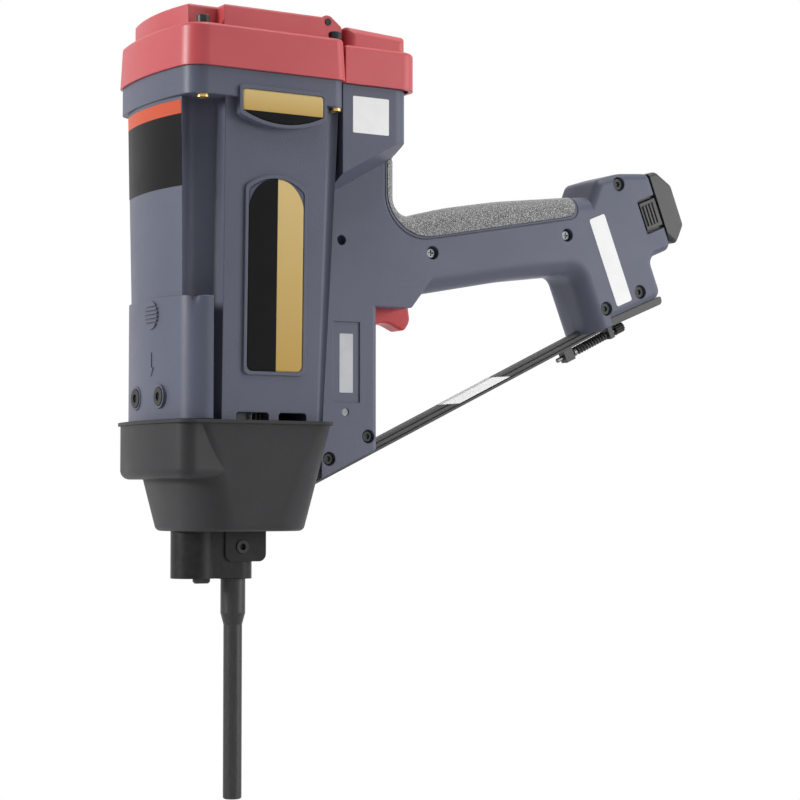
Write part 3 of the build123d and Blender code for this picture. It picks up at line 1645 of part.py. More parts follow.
def build():
    """Build every node and write it."""
    os.makedirs("parts", exist_ok=True)
    save("main_housing", main_housing())
    small, tall = badge_inserts()
    save("small_badge", small)
    save("tall_badge", tall)
    save("head_cap", head_cap())
    save("cap_screws", cap_screws())
    save("brass_inserts", brass_inserts())
    save("fuel_door", fuel_door())
    save("door_hinge_pin", hinge_pin_node())
    save("front_cover", front_cover())
    save("front_cover_screws", front_cover_screws())
    save("nose_shroud", nose_shroud())
    save("nose_block", nose_block())
    save("nose_set_screw", nose_set_screw())
    save("nose_clip", nose_clip())
    save("muzzle_tube", muzzle_tube())
    save("probe_yoke", probe_yoke())
    save("link_rods", link_rods())
    save("chamber_sleeve", chamber_sleeve())
    save("return_spring", return_spring())
    save("cylinder", cylinder())
    save("cylinder_seal", seal_ring(cylinder_top - cylinder_flange / 2))
    save("piston", piston())
    save("piston_ring", piston_ring())
    save("driver_rod", driver_rod())
    save("bumper", bumper())
    save("cylinder_head", cylinder_head())
    save("head_seal", seal_ring(spigot_top - head_boss + head_seal_lift))
    save("fan_motor", fan_motor())
    save("fan", fan())
    save("spark_plug", spark_plug())
    shells = grip_shells()
    save("grip_shell_near", half_shell(shells, -1))
    save("grip_shell_far", half_shell(shells, 1))
    save("grip_pad", grip_pad())
    save("handle_screws", handle_screws())
    save("frame_screws", frame_screws())
    save("foot_screws", foot_screws())
    save("dowel_pin", dowel_pin())
    save("trigger", trigger())
    save("trigger_pin", trigger_pin())
    save("trigger_switch", trigger_switch())
    save("battery_case", battery_case())
    save("battery_button_near", battery_button(-1))
    save("battery_button_far", battery_button(1))
    save("socket_contacts", socket_contacts())
    save("ignition_board", ignition_board())
    save("magazine_rail", magazine_rail())
    save("foot_bracket", foot_bracket())
    save("bracket_screws", bracket_screws())
    save("latch_guide", latch_guide())
    save("latch_plunger", latch_plunger())
    save("latch_spring", latch_spring())
    save("latch_knob", latch_knob())
    save("fuel_cell", fuel_cell())
    save("can_seat", can_seat())
    save("metering_valve", metering_valve())
    save("ignition_coil", ignition_coil())


build()
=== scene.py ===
"""Looks of the gas concrete nailer: materials, labels, springs, camera and studio light."""

import math

import bmesh
import bpy
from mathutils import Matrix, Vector


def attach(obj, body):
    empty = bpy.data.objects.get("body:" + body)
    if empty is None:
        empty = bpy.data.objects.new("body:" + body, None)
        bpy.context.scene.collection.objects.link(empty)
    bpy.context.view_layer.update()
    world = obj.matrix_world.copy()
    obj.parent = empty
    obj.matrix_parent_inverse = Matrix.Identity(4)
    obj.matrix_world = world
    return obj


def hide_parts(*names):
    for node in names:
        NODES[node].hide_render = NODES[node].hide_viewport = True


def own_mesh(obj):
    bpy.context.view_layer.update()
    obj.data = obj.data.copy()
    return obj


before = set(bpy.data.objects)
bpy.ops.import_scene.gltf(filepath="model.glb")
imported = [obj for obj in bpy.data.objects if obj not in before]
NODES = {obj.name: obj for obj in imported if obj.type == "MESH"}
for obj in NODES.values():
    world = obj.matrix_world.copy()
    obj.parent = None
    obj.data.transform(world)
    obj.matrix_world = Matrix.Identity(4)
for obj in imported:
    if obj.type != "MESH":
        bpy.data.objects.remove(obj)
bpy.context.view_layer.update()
MM = 0.001

# Places and tilts shared with the CAD part, in millimetres and radians
FLANGE_Z = 441.5
HOUSING_LOW = 237.5
HOUSING_FRONT = 62.0
HOUSING_HALF = 51.0
FRONT_BOW = 8.0
DRAFT_FRONT = 3.5
DRAFT_SIDE = 4.5
COLUMN_HALF = 48.0
GRIP_HALF = 22.0
PANEL_DEPTH = 0.8
FOOT_ORIGIN = (300.0, 370.0)
FOOT_TILT = math.radians(22.0)
RAIL_ORIGIN = (103.0, 226.2)
RAIL_TILT = math.radians(25.2)
RAIL_HALF = 3.5
RAIL_HEIGHT = 7.5
NOSE_TRAVEL = 20.0
LATCH_TRAVEL = 5.0

# Stickers, in millimetres: middles in X and Z, the foot's on its own axes
LABEL_GAP = 0.02
LABEL_THICKNESS = 0.15
COLUMN_LABEL_MIDDLE = (74.5, 439.6)
COLUMN_LABEL_SIZE = (27.0, 23.8)
COLUMN_LABEL_CORNER = 0.8
FOOT_LABEL_MIDDLE = (-15.2, -4.0)
FOOT_LABEL_SIZE = (14.2, 65.0)
FOOT_LABEL_CORNER = 1.5
PANEL_LABEL_MIDDLE = (71.55, 280.35)
PANEL_LABEL_SIZE = (10.1, 38.7)
PANEL_LABEL_CORNER = 0.6

# Slanted sticker on the rail, in millimetres: its low edge, and each end's run at the low and high edge
RAIL_LABEL_LOW = -1.3
RAIL_LABEL_FRONT = (75.2, 61.8)
RAIL_LABEL_BACK = (121.6, 108.6)

# Front decal, in millimetres
DECAL_WIDTH = 79.0
DECAL_LOW = 385.5
DECAL_HEIGHT = 53.5
DECAL_LIFT = 0.05
DECAL_BAND_Z = 430.4
DECAL_BAND_BLUR = 0.2

# Badge prints, in millimetres: where black meets gold, where the gold turns pale, and the tall one's arch
PRINT_BLUR = 0.06
SMALL_BADGE_SPLIT = 433.5
SMALL_BADGE_FADE = (432.0, 447.0)
TALL_BADGE_SPLIT = 5.0
TALL_BADGE_FADE = (268.0, 395.0)
TALL_BADGE_ARCH = {"middle": 4.0, "half": 20.0, "start": 370.0, "rise": 22.8}

# Share of the arch over which its print fades out
ARCH_BLUR = 0.015

# Steps in a sticker's rounded corner, and points across and up the decal
CORNER_STEPS = 5
DECAL_COLUMNS = 25
DECAL_ROWS = 5

# Distances in metres within which loose points are joined
DECAL_WELD = 0.00001
COIL_WELD = 0.000001

# Radii in metres to which the shading softens an edge, and the samples that it takes
SOFT_EDGE = 0.0009
FINE_EDGE = 0.0006
METAL_EDGE = 0.0003
DOME_EDGE = 0.0022
EDGE_SAMPLES = 4

# Linear colours of each finish: its main tone and the tone that it drifts to
SLATE = ((0.104, 0.113, 0.156), (0.088, 0.096, 0.136))
RED = ((0.560, 0.078, 0.088), (0.500, 0.062, 0.072))
TRIGGER_RED = ((0.560, 0.048, 0.054), (0.500, 0.040, 0.046))
BLACK = ((0.024, 0.024, 0.026), (0.042, 0.042, 0.044))
SHROUD_BLACK = ((0.042, 0.042, 0.044), (0.030, 0.030, 0.032))
RUBBER = ((0.058, 0.058, 0.060), (0.600, 0.600, 0.600))
SEAL = ((0.020, 0.020, 0.020), (0.030, 0.030, 0.030))
NOSE_BLACK = ((0.014, 0.014, 0.015), (0.022, 0.022, 0.023))
OXIDE = ((0.020, 0.020, 0.021), (0.034, 0.034, 0.035))
TUBE_OXIDE = ((0.030, 0.030, 0.031), (0.046, 0.046, 0.047))
STEEL = ((0.340, 0.345, 0.355), (0.260, 0.265, 0.270))
ZINC = ((0.170, 0.172, 0.178), (0.110, 0.112, 0.116))
SPRING_BLACK = ((0.040, 0.040, 0.042), (0.075, 0.075, 0.078))
BRASS = ((0.620, 0.420, 0.160), (0.500, 0.330, 0.120))
RAIL_GREY = ((0.080, 0.080, 0.083), (0.110, 0.110, 0.113))
ALUMINIUM = ((0.240, 0.243, 0.250), (0.180, 0.183, 0.190))
LACQUER = ((0.620, 0.630, 0.650), (0.550, 0.560, 0.580))
BOARD_GREEN = ((0.030, 0.120, 0.050), (0.020, 0.090, 0.040))
GOLD = ((0.600, 0.390, 0.115), (0.800, 0.600, 0.260))
INK = ((0.008, 0.008, 0.009), (0.013, 0.013, 0.014))
WHITE_PAPER = ((0.950, 0.950, 0.945), (0.920, 0.920, 0.915))
GREY_PAPER = ((0.580, 0.585, 0.600), (0.540, 0.545, 0.560))
FLOOR_WHITE = ((0.900, 0.900, 0.900), (0.930, 0.930, 0.930))
ORANGE = (0.620, 0.115, 0.060)

# Floor, in millimetres, and background light
FLOOR_HALF = 800.0
FLOOR_Z = -160.0
SOFT_SKY = (0.95, 0.97, 1.0, 1.0)
SOFT_SKY_STRENGTH = 0.13
WHITE_SKY = (1.0, 1.0, 1.0, 1.0)
WHITE_SKY_STRENGTH = 1.0

# Point in metres at which every lamp is aimed
LAMP_AIM = (0.08, 0.0, 0.30)

# Camera, in millimetres and radians
CAMERA_PLACE = (-630.9, -1238.9, 189.85)
CAMERA_TURN = math.radians(31.419)
CAMERA_PITCH = math.radians(2.702)
CAMERA_LENS = 96.75
CAMERA_SENSOR = 36.0

# Places of the colour sockets on a Mix node
MIX_SHARE, MIX_FIRST, MIX_SECOND, MIX_RESULT = 0, 6, 7, 2


class NodeTree:
    """Short helpers that every kind of node tree shares."""

    def __init__(self, tree):
        self.tree = tree

    def feed(self, socket, value):
        """Link a socket to another one, or set it to a plain value."""
        if isinstance(value, bpy.types.NodeSocket):
            self.tree.links.new(value, socket)
        else:
            socket.default_value = value

    def feed_all(self, node, inputs):
        """Feed a node's inputs by name, where an underscore stands for a space."""
        for name, value in inputs.items():
            self.feed(node.inputs[name.replace("_", " ")], value)

    def node(self, kind, **inputs):
        node = self.tree.nodes.new(kind)
        self.feed_all(node, inputs)
        return node

    def math(self, operation, first, second=0.0):
        node = self.node("ShaderNodeMath")
        node.operation = operation
        for socket, value in zip(node.inputs, (first, second)):
            self.feed(socket, value)
        return node.outputs["Value"]


class Finish(NodeTree):
    """A material's node tree, with its patterns on Object coordinates."""

    def __init__(self, name):
        self.material = bpy.data.materials.new(name)
        self.material.use_nodes = True
        super().__init__(self.material.node_tree)
        self.tree.nodes.clear()
        self.shader = self.node("ShaderNodeBsdfPrincipled")
        self.node("ShaderNodeOutputMaterial", Surface=self.shader.outputs["BSDF"])
        self.coords = self.node("ShaderNodeTexCoord").outputs["Object"]

    def shade(self, **values):
        """Set or link the shader's own sockets."""
        self.feed_all(self.shader, values)

    def noise(self, scale, detail=3.0, stretch=None):
        place = self.coords
        if stretch:
            place = self.node("ShaderNodeMapping", Vector=place, Scale=stretch).outputs["Vector"]
        return self.node("ShaderNodeTexNoise", Vector=place, Scale=scale, Detail=detail).outputs["Fac"]

    def cells(self, scale):
        return self.node("ShaderNodeTexVoronoi", Vector=self.coords, Scale=scale).outputs["Distance"]

    def axis(self, name):
        return self.node("ShaderNodeSeparateXYZ", Vector=self.coords).outputs[name]

    def ramp(self, source, low, high):
        """Nought up to the low value of the source, one from its high value on."""
        return self.node("ShaderNodeMapRange", Value=source, From_Min=low, From_Max=high).outputs["Result"]

    def spread(self, source, low, high):
        """A source from nought to one, spread between two values."""
        return self.node("ShaderNodeMapRange", Value=source, To_Min=low, To_Max=high).outputs["Result"]

    def outside_arch(self, middle, half, start, rise):
        """Nought under an upright arch in X and Z, one outside it, from millimetres."""
        across = self.math("DIVIDE", self.math("SUBTRACT", self.axis("X"), middle * MM), half * MM)
        above = self.math("DIVIDE", self.math("SUBTRACT", self.axis("Z"), start * MM), rise * MM)
        above = self.math("MAXIMUM", above, 0.0)
        total = self.math("ADD", self.math("POWER", across, 2.0), self.math("POWER", above, 2.0))
        return self.ramp(total, low=1.0 - ARCH_BLUR, high=1.0 + ARCH_BLUR)

    def mix(self, share, first, second):
        """A colour between two, each of them a colour or a socket."""
        node = self.node("ShaderNodeMix")
        node.data_type = "RGBA"
        self.feed(node.inputs[MIX_SHARE], share)
        for place, color in ((MIX_FIRST, first), (MIX_SECOND, second)):
            self.feed(node.inputs[place], (*color, 1.0) if isinstance(color, tuple) else color)
        return node.outputs[MIX_RESULT]

    def bump(self, height, depth, edge=0.0):
        """Bump from a height, over softly rounded edges."""
        node = self.node("ShaderNodeBump", Height=height, Distance=depth)
        if edge > 0:
            rounded_edge = self.node("ShaderNodeBevel", Radius=edge)
            rounded_edge.samples = EDGE_SAMPLES
            self.feed(node.inputs["Normal"], rounded_edge.outputs["Normal"])
        self.shade(Normal=node.outputs["Normal"])


def plastic(name, tones, rough, grain, edge=FINE_EDGE, shine=0.35, texture=1900.0):
    """Moulded plastic with a fine spark texture and a slow change of tone."""
    finish = Finish(name)
    tone = finish.ramp(finish.noise(scale=14.0), low=0.3, high=0.7)
    finish.shade(
        Base_Color=finish.mix(tone, *tones),
        Roughness=finish.spread(finish.noise(scale=60.0), low=rough - 0.06, high=rough + 0.06),
        Specular_IOR_Level=shine,
    )
    finish.bump(finish.noise(texture), depth=grain, edge=edge)
    return finish.material


def metal(name, tones, rough, stretch=None, scale=400.0, metallic=1.0, shine=0.3):
    """Metal, streaked along the direction that a stretch leaves short."""
    finish = Finish(name)
    streaks = finish.noise(scale, detail=4.0, stretch=stretch)
    tone = finish.ramp(streaks, low=0.3, high=0.7)
    finish.shade(
        Base_Color=finish.mix(tone, *tones),
        Roughness=finish.spread(streaks, low=rough - 0.08, high=rough + 0.08),
        Metallic=metallic,
        Specular_IOR_Level=shine,
    )
    finish.bump(streaks, depth=0.00003, edge=METAL_EDGE)
    return finish.material


def rubber(name):
    """Stippled grip rubber with paler specks."""
    finish = Finish(name)
    pips = finish.ramp(finish.cells(scale=900.0), low=0.1, high=0.5)
    specks = finish.ramp(finish.noise(scale=1900.0, detail=2.0), low=0.47, high=0.67)
    finish.shade(
        Base_Color=finish.mix(specks, *RUBBER),
        Roughness=finish.spread(pips, low=0.40, high=0.60),
        Specular_IOR_Level=0.5,
        Sheen_Weight=0.5,
        Sheen_Roughness=0.35,
    )
    finish.bump(pips, depth=-0.00012)
    return finish.material


def badge(name, axis, split, fade, arch=None):
    """Domed badge, black and then gold along an axis, with its print cut to an arch where one is given."""
    finish = Finish(name)
    side = finish.ramp(finish.axis(axis), low=(split - PRINT_BLUR) * MM, high=(split + PRINT_BLUR) * MM)
    sheen = finish.ramp(finish.axis("Z"), low=fade[0] * MM, high=fade[1] * MM)
    face = finish.mix(side, INK[0], finish.mix(sheen, *GOLD))
    if arch:
        face = finish.mix(finish.outside_arch(**arch), face, SLATE[0])
    finish.shade(
        Base_Color=face,
        Roughness=finish.spread(finish.noise(scale=90.0), low=0.16, high=0.26),
        Specular_IOR_Level=0.06,
        Coat_Weight=0.05,
        Coat_Roughness=0.05,
    )
    finish.bump(finish.noise(scale=700.0), depth=0.00001, edge=DOME_EDGE)
    return finish.material


def paper(name, tones):
    """Matt sticker paper."""
    finish = Finish(name)
    tone = finish.ramp(finish.noise(scale=120.0), low=0.35, high=0.65)
    finish.shade(
        Base_Color=finish.mix(tone, *tones),
        Roughness=finish.spread(finish.noise(scale=40.0), low=0.42, high=0.58),
    )
    return finish.material


def decal_film(name):
    """Front decal: an orange band over a plain black panel."""
    finish = Finish(name)
    below, above = DECAL_BAND_Z - DECAL_BAND_BLUR, DECAL_BAND_Z + DECAL_BAND_BLUR
    band = finish.ramp(finish.axis("Z"), low=below * MM, high=above * MM)
    panel = finish.mix(finish.noise(scale=80.0), *INK)
    finish.shade(
        Base_Color=finish.mix(band, panel, ORANGE),
        Roughness=finish.spread(finish.noise(scale=50.0), low=0.30, high=0.42),
        Specular_IOR_Level=0.06,
    )
    finish.bump(finish.noise(scale=1200.0), depth=0.00001)
    return finish.material


def make_materials():
    """All materials by short name."""
    return {
        "slate": plastic("slate_plastic", SLATE, rough=0.42, grain=0.00012, edge=SOFT_EDGE, shine=0.30,
                         texture=1000.0),
        "red": plastic("red_plastic", RED, rough=0.38, grain=0.00008, edge=SOFT_EDGE, shine=0.5),
        "trigger": plastic("trigger_red", TRIGGER_RED, rough=0.36, grain=0.00006, edge=SOFT_EDGE, shine=0.3),
        "black": plastic("black_plastic", BLACK, rough=0.38, grain=0.00010, shine=0.40),
        "shroud": plastic("shroud_black", SHROUD_BLACK, rough=0.50, grain=0.00014, edge=SOFT_EDGE,
                          shine=0.18),
        "rubber": rubber("grip_rubber"),
        "seal": plastic("seal_rubber", SEAL, rough=0.7, grain=0.00008),
        "nose": metal("nose_coat", NOSE_BLACK, rough=0.42, scale=250.0, metallic=0.2, shine=0.15),
        "oxide": metal("black_oxide", OXIDE, rough=0.38, metallic=0.6),
        "tube": metal("tube_oxide", TUBE_OXIDE, rough=0.40, stretch=(6.0, 6.0, 0.5), scale=300.0,
                      metallic=0.5),
        "steel": metal("bright_steel", STEEL, rough=0.30),
        "zinc": metal("zinc_plate", ZINC, rough=0.36),
        "spring": metal("spring_steel", SPRING_BLACK, rough=0.42, metallic=0.4),
        "brass": metal("insert_brass", BRASS, rough=0.32),
        "rail": metal("rail_anodised", RAIL_GREY, rough=0.48, stretch=(0.3, 6.0, 6.0), scale=300.0,
                      metallic=0.0, shine=0.15),
        "bare": metal("machined_aluminium", ALUMINIUM, rough=0.42),
        "can": plastic("can_lacquer", LACQUER, rough=0.3, grain=0.00002),
        "board": plastic("board_coat", BOARD_GREEN, rough=0.4, grain=0.00004),
        "small_badge": badge("small_badge_face", "Z", SMALL_BADGE_SPLIT, SMALL_BADGE_FADE),
        "tall_badge": badge("tall_badge_face", "X", TALL_BADGE_SPLIT, TALL_BADGE_FADE, TALL_BADGE_ARCH),
        "white": paper("white_sticker", WHITE_PAPER),
        "grey": paper("grey_sticker", GREY_PAPER),
        "decal": decal_film("front_decal"),
    }


NODE_LOOKS = {
    "slate": ("main_housing", "front_cover", "grip_shell_near", "grip_shell_far"),
    "red": ("head_cap", "fuel_door"),
    "trigger": ("trigger",),
    "black": ("battery_case", "battery_button_near", "battery_button_far", "foot_bracket", "latch_guide",
              "trigger_switch", "ignition_coil", "fan", "metering_valve"),
    "shroud": ("nose_shroud",),
    "rubber": ("grip_pad",),
    "seal": ("bumper", "cylinder_seal", "head_seal", "can_seat"),
    "nose": ("nose_block",),
    "oxide": ("cap_screws", "frame_screws", "foot_screws", "front_cover_screws", "nose_set_screw",
              "door_hinge_pin", "nose_clip", "latch_knob", "probe_yoke", "link_rods"),
    "tube": ("muzzle_tube",),
    "steel": ("trigger_pin", "piston_ring", "driver_rod", "spark_plug", "fan_motor"),
    "zinc": ("handle_screws", "dowel_pin", "bracket_screws", "latch_plunger"),
    "spring": ("latch_spring", "return_spring"),
    "brass": ("brass_inserts", "socket_contacts"),
    "rail": ("magazine_rail",),
    "bare": ("chamber_sleeve", "cylinder", "cylinder_head", "piston"),
    "can": ("fuel_cell",),
    "board": ("ignition_board",),
    "small_badge": ("small_badge",),
    "tall_badge": ("tall_badge",),
}


def paint_nodes(looks):
    """Give every CAD node its material."""
    for look, names in NODE_LOOKS.items():
        for name in names:
            mesh = NODES[name].data
            mesh.materials.clear()
            mesh.materials.append(looks[look])


def add_object(name, data):
    """A new object in the scene."""
    piece = bpy.data.objects.new(name, data)
    bpy.context.scene.collection.objects.link(piece)
    return piece


def mesh_object(name, points, faces, material):
    """A plain mesh object from millimetre points."""
    mesh = bpy.data.meshes.new(name)
    mesh.from_pydata([Vector(point) * MM for point in points], [], faces)
    mesh.materials.append(material)
    mesh.update()
    return add_object(name, mesh)


def wall_faces(count):
    """The faces between an outline and its second copy, for outlines of so many points."""
    return [(i, (i + 1) % count, count + (i + 1) % count, count + i) for i in range(count)]


def prism(name, outline, normal, thickness, material):
    """A thin plate: an outline of points and the same outline lifted along a normal."""
    lift = Vector(normal).normalized() * thickness
    base = [Vector(point) for point in outline]
    top = [point + lift for point in base]
    count = len(base)
    faces = [tuple(range(count, 2 * count)), tuple(reversed(range(count)))]
    return mesh_object(name, base + top, faces + wall_faces(count), material)


def rounded(width, height, corner):
    """Outline of a rounded rectangle about its middle."""
    points = []
    for across, up, start in ((1, 1, 0), (-1, 1, 90), (-1, -1, 180), (1, -1, 270)):
        for step in range(CORNER_STEPS + 1):
            angle = math.radians(start + 90 * step / CORNER_STEPS)
            points.append((across * (width / 2 - corner) + corner * math.cos(angle),
                           up * (height / 2 - corner) + corner * math.sin(angle)))
    return points


def turned(origin, turn, across, up):
    """World X and Z of a place on axes that are turned about an origin."""
    cos, sin = math.cos(turn), math.sin(turn)
    return (origin[0] + across * cos - up * sin, origin[1] + across * sin + up * cos)


def side_label(name, middle, turn, size, corner, y, material):
    """A sticker just off a face that looks towards -Y, turned about its middle."""
    outline = []
    for across, up in rounded(*size, corner):
        x, z = turned(middle, turn, across, up)
        outline.append((x, y - LABEL_GAP, z))
    label = prism(name, outline, (0, -1, 0), LABEL_THICKNESS, material)
    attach(label, "tool")


def rail_label(material):
    """A slanted sticker on the rail's near face that folds over on its top."""
    inner = -RAIL_HALF - LABEL_GAP
    outer = inner - LABEL_THICKNESS
    low, high = RAIL_LABEL_LOW, RAIL_HEIGHT / 2 + LABEL_GAP
    top = high + LABEL_THICKNESS
    points = []
    for run_low, run_high in (RAIL_LABEL_FRONT, RAIL_LABEL_BACK):
        slope = (run_high - run_low) / (high - low)
        over = run_high + slope * LABEL_THICKNESS
        section = (
            (inner, run_low, low), (inner, run_high, high), (RAIL_HALF, run_high, high),
            (RAIL_HALF, over, top), (outer, over, top), (outer, run_low, low),
        )
        for y, run, up in section:
            x, z = turned(RAIL_ORIGIN, RAIL_TILT, run, up)
            points.append((x, y, z))
    # Each end is two quads: the strip on the near face and the strip on the top
    front_end = [(0, 5, 4, 1), (1, 4, 3, 2)]
    back_end = [(6, 7, 10, 11), (7, 8, 9, 10)]
    faces = wall_faces(len(points) // 2) + front_end + back_end
    strip = mesh_object("rail_label", points, faces, material)
    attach(strip, "tool")


def labels(looks):
    """Blank stickers on the near side."""
    side_label("column_label", COLUMN_LABEL_MIDDLE, 0.0, COLUMN_LABEL_SIZE, COLUMN_LABEL_CORNER,
               -COLUMN_HALF, looks["white"])
    foot_middle = turned(FOOT_ORIGIN, FOOT_TILT, *FOOT_LABEL_MIDDLE)
    side_label("foot_label", foot_middle, FOOT_TILT, FOOT_LABEL_SIZE, FOOT_LABEL_CORNER,
               -GRIP_HALF, looks["white"])
    side_label("panel_label", PANEL_LABEL_MIDDLE, 0.0, PANEL_LABEL_SIZE, PANEL_LABEL_CORNER,
               PANEL_DEPTH - GRIP_HALF, looks["grey"])
    rail_label(looks["white"])


class Maker(NodeTree):
    """A geometry node tree with named inputs for its sizes, in millimetres."""

    def __init__(self, name, sizes):
        super().__init__(bpy.data.node_groups.new(name, "GeometryNodeTree"))
        self.sizes = sizes
        self.keys = {}
        interface = self.tree.interface
        for label in sizes:
            socket = interface.new_socket(label, in_out="INPUT", socket_type="NodeSocketFloat")
            self.keys[label] = socket.identifier
        interface.new_socket("Geometry", in_out="OUTPUT", socket_type="NodeSocketGeometry")
        self.source = self.node("NodeGroupInput").outputs

    def finish(self, geometry, material):
        """End the tree in real geometry with its material."""
        real = self.node("GeometryNodeRealizeInstances", Geometry=geometry)
        paint = self.node("GeometryNodeSetMaterial", Geometry=real.outputs["Geometry"], Material=material)
        self.node("NodeGroupOutput", Geometry=paint.outputs["Geometry"])

    def plain_mesh(self, name):
        """Evaluate the tree once and keep its result as a plain mesh object."""
        holder = add_object(name + "_maker", bpy.data.meshes.new(name + "_maker"))
        modifier = holder.modifiers.new("maker", "NODES")
        modifier.node_group = self.tree
        for label, size in self.sizes.items():
            modifier[self.keys[label]] = size * MM
        bpy.context.view_layer.update()
        made = holder.evaluated_get(bpy.context.evaluated_depsgraph_get())
        mesh = bpy.data.meshes.new_from_object(made)
        bpy.data.objects.remove(holder)
        return add_object(name, mesh)


def bowed_front(bend, y, z):
    """X of a place just off the housing's bowed and drafted front."""
    size, sums = bend.source, bend.math
    share = sums("DIVIDE", sums("SUBTRACT", size["Flange"], z), size["Fall"])
    front = sums("SUBTRACT", size["Front"], sums("MULTIPLY", size["Draft Front"], share))
    half = sums("SUBTRACT", size["Side"], sums("MULTIPLY", size["Draft Side"], share))
    squares = sums("ADD", sums("POWER", half, 2.0), sums("POWER", size["Bow"], 2.0))
    radius = sums("DIVIDE", squares, sums("MULTIPLY", size["Bow"], 2.0))
    chord = sums("SUBTRACT", sums("POWER", radius, 2.0), sums("MULTIPLY", y, y))
    x = sums("SUBTRACT", sums("SUBTRACT", radius, front), sums("SQRT", chord))
    return sums("SUBTRACT", x, size["Lift"])


def front_decal(material):
    """Decal laid on the front of the housing under the flange."""
    bend = Maker("front_decal", {
        "Width": DECAL_WIDTH, "Low": DECAL_LOW, "Height": DECAL_HEIGHT, "Lift": DECAL_LIFT,
        "Thickness": LABEL_THICKNESS, "Flange": FLANGE_Z, "Fall": FLANGE_Z - HOUSING_LOW,
        "Front": HOUSING_FRONT, "Side": HOUSING_HALF, "Bow": FRONT_BOW,
        "Draft Front": DRAFT_FRONT, "Draft Side": DRAFT_SIDE,
    })
    size = bend.source
    grid = bend.node("GeometryNodeMeshGrid", Size_X=size["Width"], Size_Y=size["Height"],
                     Vertices_X=DECAL_COLUMNS, Vertices_Y=DECAL_ROWS)
    position = bend.node("GeometryNodeInputPosition").outputs["Position"]
    flat = bend.node("ShaderNodeSeparateXYZ", Vector=position).outputs
    y = bend.math("MULTIPLY", flat["X"], -1.0)
    middle = bend.math("ADD", size["Low"], bend.math("MULTIPLY", size["Height"], 0.5))
    z = bend.math("ADD", flat["Y"], middle)
    place = bend.node("ShaderNodeCombineXYZ", X=bowed_front(bend, y, z), Y=y, Z=z).outputs["Vector"]
    bent = bend.node("GeometryNodeSetPosition", Geometry=grid.outputs["Mesh"], Position=place)
    sheet = bent.outputs["Geometry"]
    thick = bend.node("GeometryNodeExtrudeMesh", Mesh=sheet, Offset_Scale=size["Thickness"],
                      Individual=False)
    back = bend.node("GeometryNodeFlipFaces", Mesh=sheet)
    both = bend.node("GeometryNodeJoinGeometry")
    for side in (thick, back):
        bend.feed(both.inputs["Geometry"], side.outputs["Mesh"])
    whole = bend.node("GeometryNodeMergeByDistance", Geometry=both.outputs["Geometry"], Distance=DECAL_WELD)
    bend.finish(whole.outputs["Geometry"], material)
    decal = bend.plain_mesh("front_decal")
    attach(decal, "tool")


def merged_copy(source):
    """A copy of a CAD mesh with its loose triangles joined."""
    mesh = source.copy()
    work = bmesh.new()
    work.from_mesh(mesh)
    bmesh.ops.remove_doubles(work, verts=work.verts, dist=COIL_WELD)
    work.to_mesh(mesh)
    work.free()
    return mesh


def springs():
    """Copies of the two CAD coils, each pressed by a joint, shown in place of the hidden CAD nodes."""
    upright = Vector((0.0, 0.0, 1.0))
    along_rail = Vector((math.cos(RAIL_TILT), 0.0, math.sin(RAIL_TILT)))
    presses = (
        ("return_spring", "nose_slide", upright, NOSE_TRAVEL),
        ("latch_spring", "latch_slide", along_rail, LATCH_TRAVEL),
    )
    for node, joint, axis, travel in presses:
        coil = add_object(node + "_coil", merged_copy(NODES[node].data))
        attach(coil, "tool")
        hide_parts(node)
        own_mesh(coil)


def pale_floor():
    """A plain floor well below the muzzle."""
    finish = Finish("pale_floor")
    finish.shade(Base_Color=finish.mix(finish.noise(scale=3.0), *FLOOR_WHITE), Roughness=0.9)
    corners = [(x * FLOOR_HALF, y * FLOOR_HALF, FLOOR_Z) for x, y in ((-1, -1), (1, -1), (1, 1), (-1, 1))]
    floor = mesh_object("floor", corners, [(0, 1, 2, 3)], finish.material)


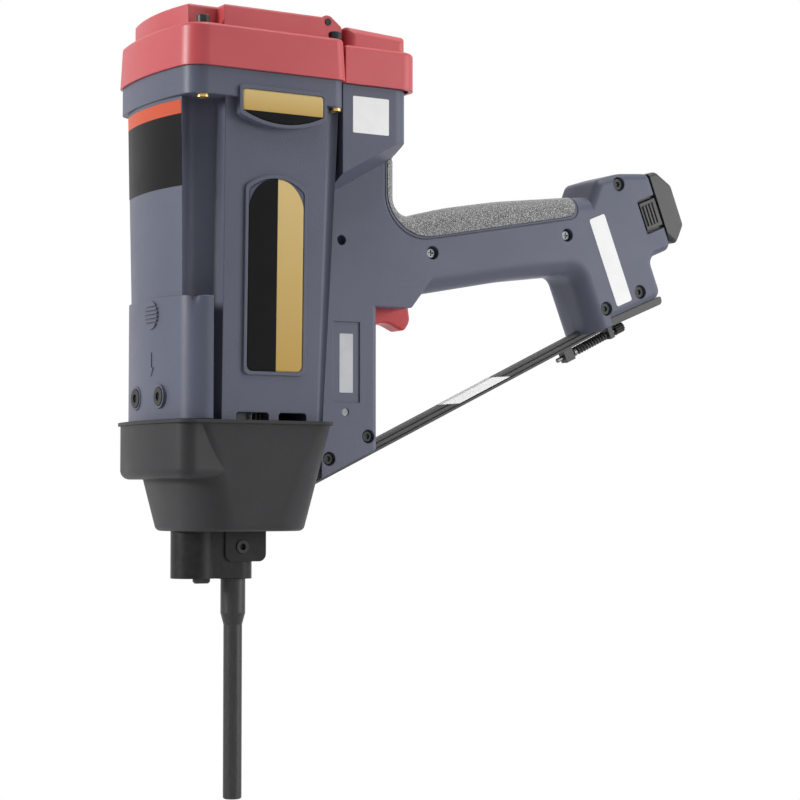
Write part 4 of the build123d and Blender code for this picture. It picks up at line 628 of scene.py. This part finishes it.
def background():
    """A world that is white to the eye and in reflections, and lights the tool only softly."""
    world = bpy.data.worlds.new("studio")
    bpy.context.scene.world = world
    world.use_nodes = True
    sky = NodeTree(world.node_tree)
    sky.tree.nodes.clear()
    soft = sky.node("ShaderNodeBackground", Color=SOFT_SKY, Strength=SOFT_SKY_STRENGTH)
    white = sky.node("ShaderNodeBackground", Color=WHITE_SKY, Strength=WHITE_SKY_STRENGTH)
    rays = sky.node("ShaderNodeLightPath").outputs
    seen = rays["Is Camera Ray"]
    for ray in ("Is Glossy Ray", "Is Transmission Ray"):
        seen = sky.math("MAXIMUM", seen, rays[ray])
    choose = sky.node("ShaderNodeMixShader", Fac=seen)
    sky.feed(choose.inputs[1], soft.outputs["Background"])
    sky.feed(choose.inputs[2], white.outputs["Background"])
    sky.node("ShaderNodeOutputWorld", Surface=choose.outputs["Shader"])


def area_light(name, place, size, power, diffuse=True, gloss=True):
    """A soft square lamp, in metres and watts, that lights plain surfaces, gloss or both."""
    lamp = bpy.data.lights.new(name, "AREA")
    lamp.shape = "SQUARE"
    lamp.size = size
    lamp.energy = power
    holder = add_object(name, lamp)
    holder.location = place
    holder.rotation_euler = (Vector(LAMP_AIM) - Vector(place)).to_track_quat("-Z", "Y").to_euler()
    holder.visible_diffuse = diffuse
    holder.visible_glossy = gloss


def lamps():
    """Soft lamps round the tool, and a panel that shows only in the near side's gloss."""
    area_light("key", (-2.2, 0.34, 0.9), size=0.55, power=44.0)
    area_light("right", (1.6, -0.98, 0.7), size=0.8, power=21.5, gloss=False)
    area_light("top", (0.3, -0.5, 1.9), size=1.0, power=17.0)
    area_light("rim", (0.9, 1.8, 1.3), size=1.4, power=16.0, gloss=False)
    area_light("panel", (1.75, -1.45, 0.45), size=1.4, power=22.0, diffuse=False)


def camera():
    """Camera solved from the photo: low, looking slightly up, turned to the near front corner."""
    lens = bpy.data.cameras.new("camera")
    lens.sensor_width = CAMERA_SENSOR
    lens.lens = CAMERA_LENS
    holder = add_object("camera", lens)
    holder.location = Vector(CAMERA_PLACE) * MM
    level = math.cos(CAMERA_PITCH)
    aim = Vector((math.sin(CAMERA_TURN) * level, math.cos(CAMERA_TURN) * level, math.sin(CAMERA_PITCH)))
    holder.rotation_euler = aim.to_track_quat("-Z", "Y").to_euler()
    bpy.context.scene.camera = holder


bpy.context.scene.view_settings.view_transform = "Standard"
LOOKS = make_materials()
paint_nodes(LOOKS)
front_decal(LOOKS["decal"])
labels(LOOKS)
springs()
pale_floor()
background()
lamps()
camera()
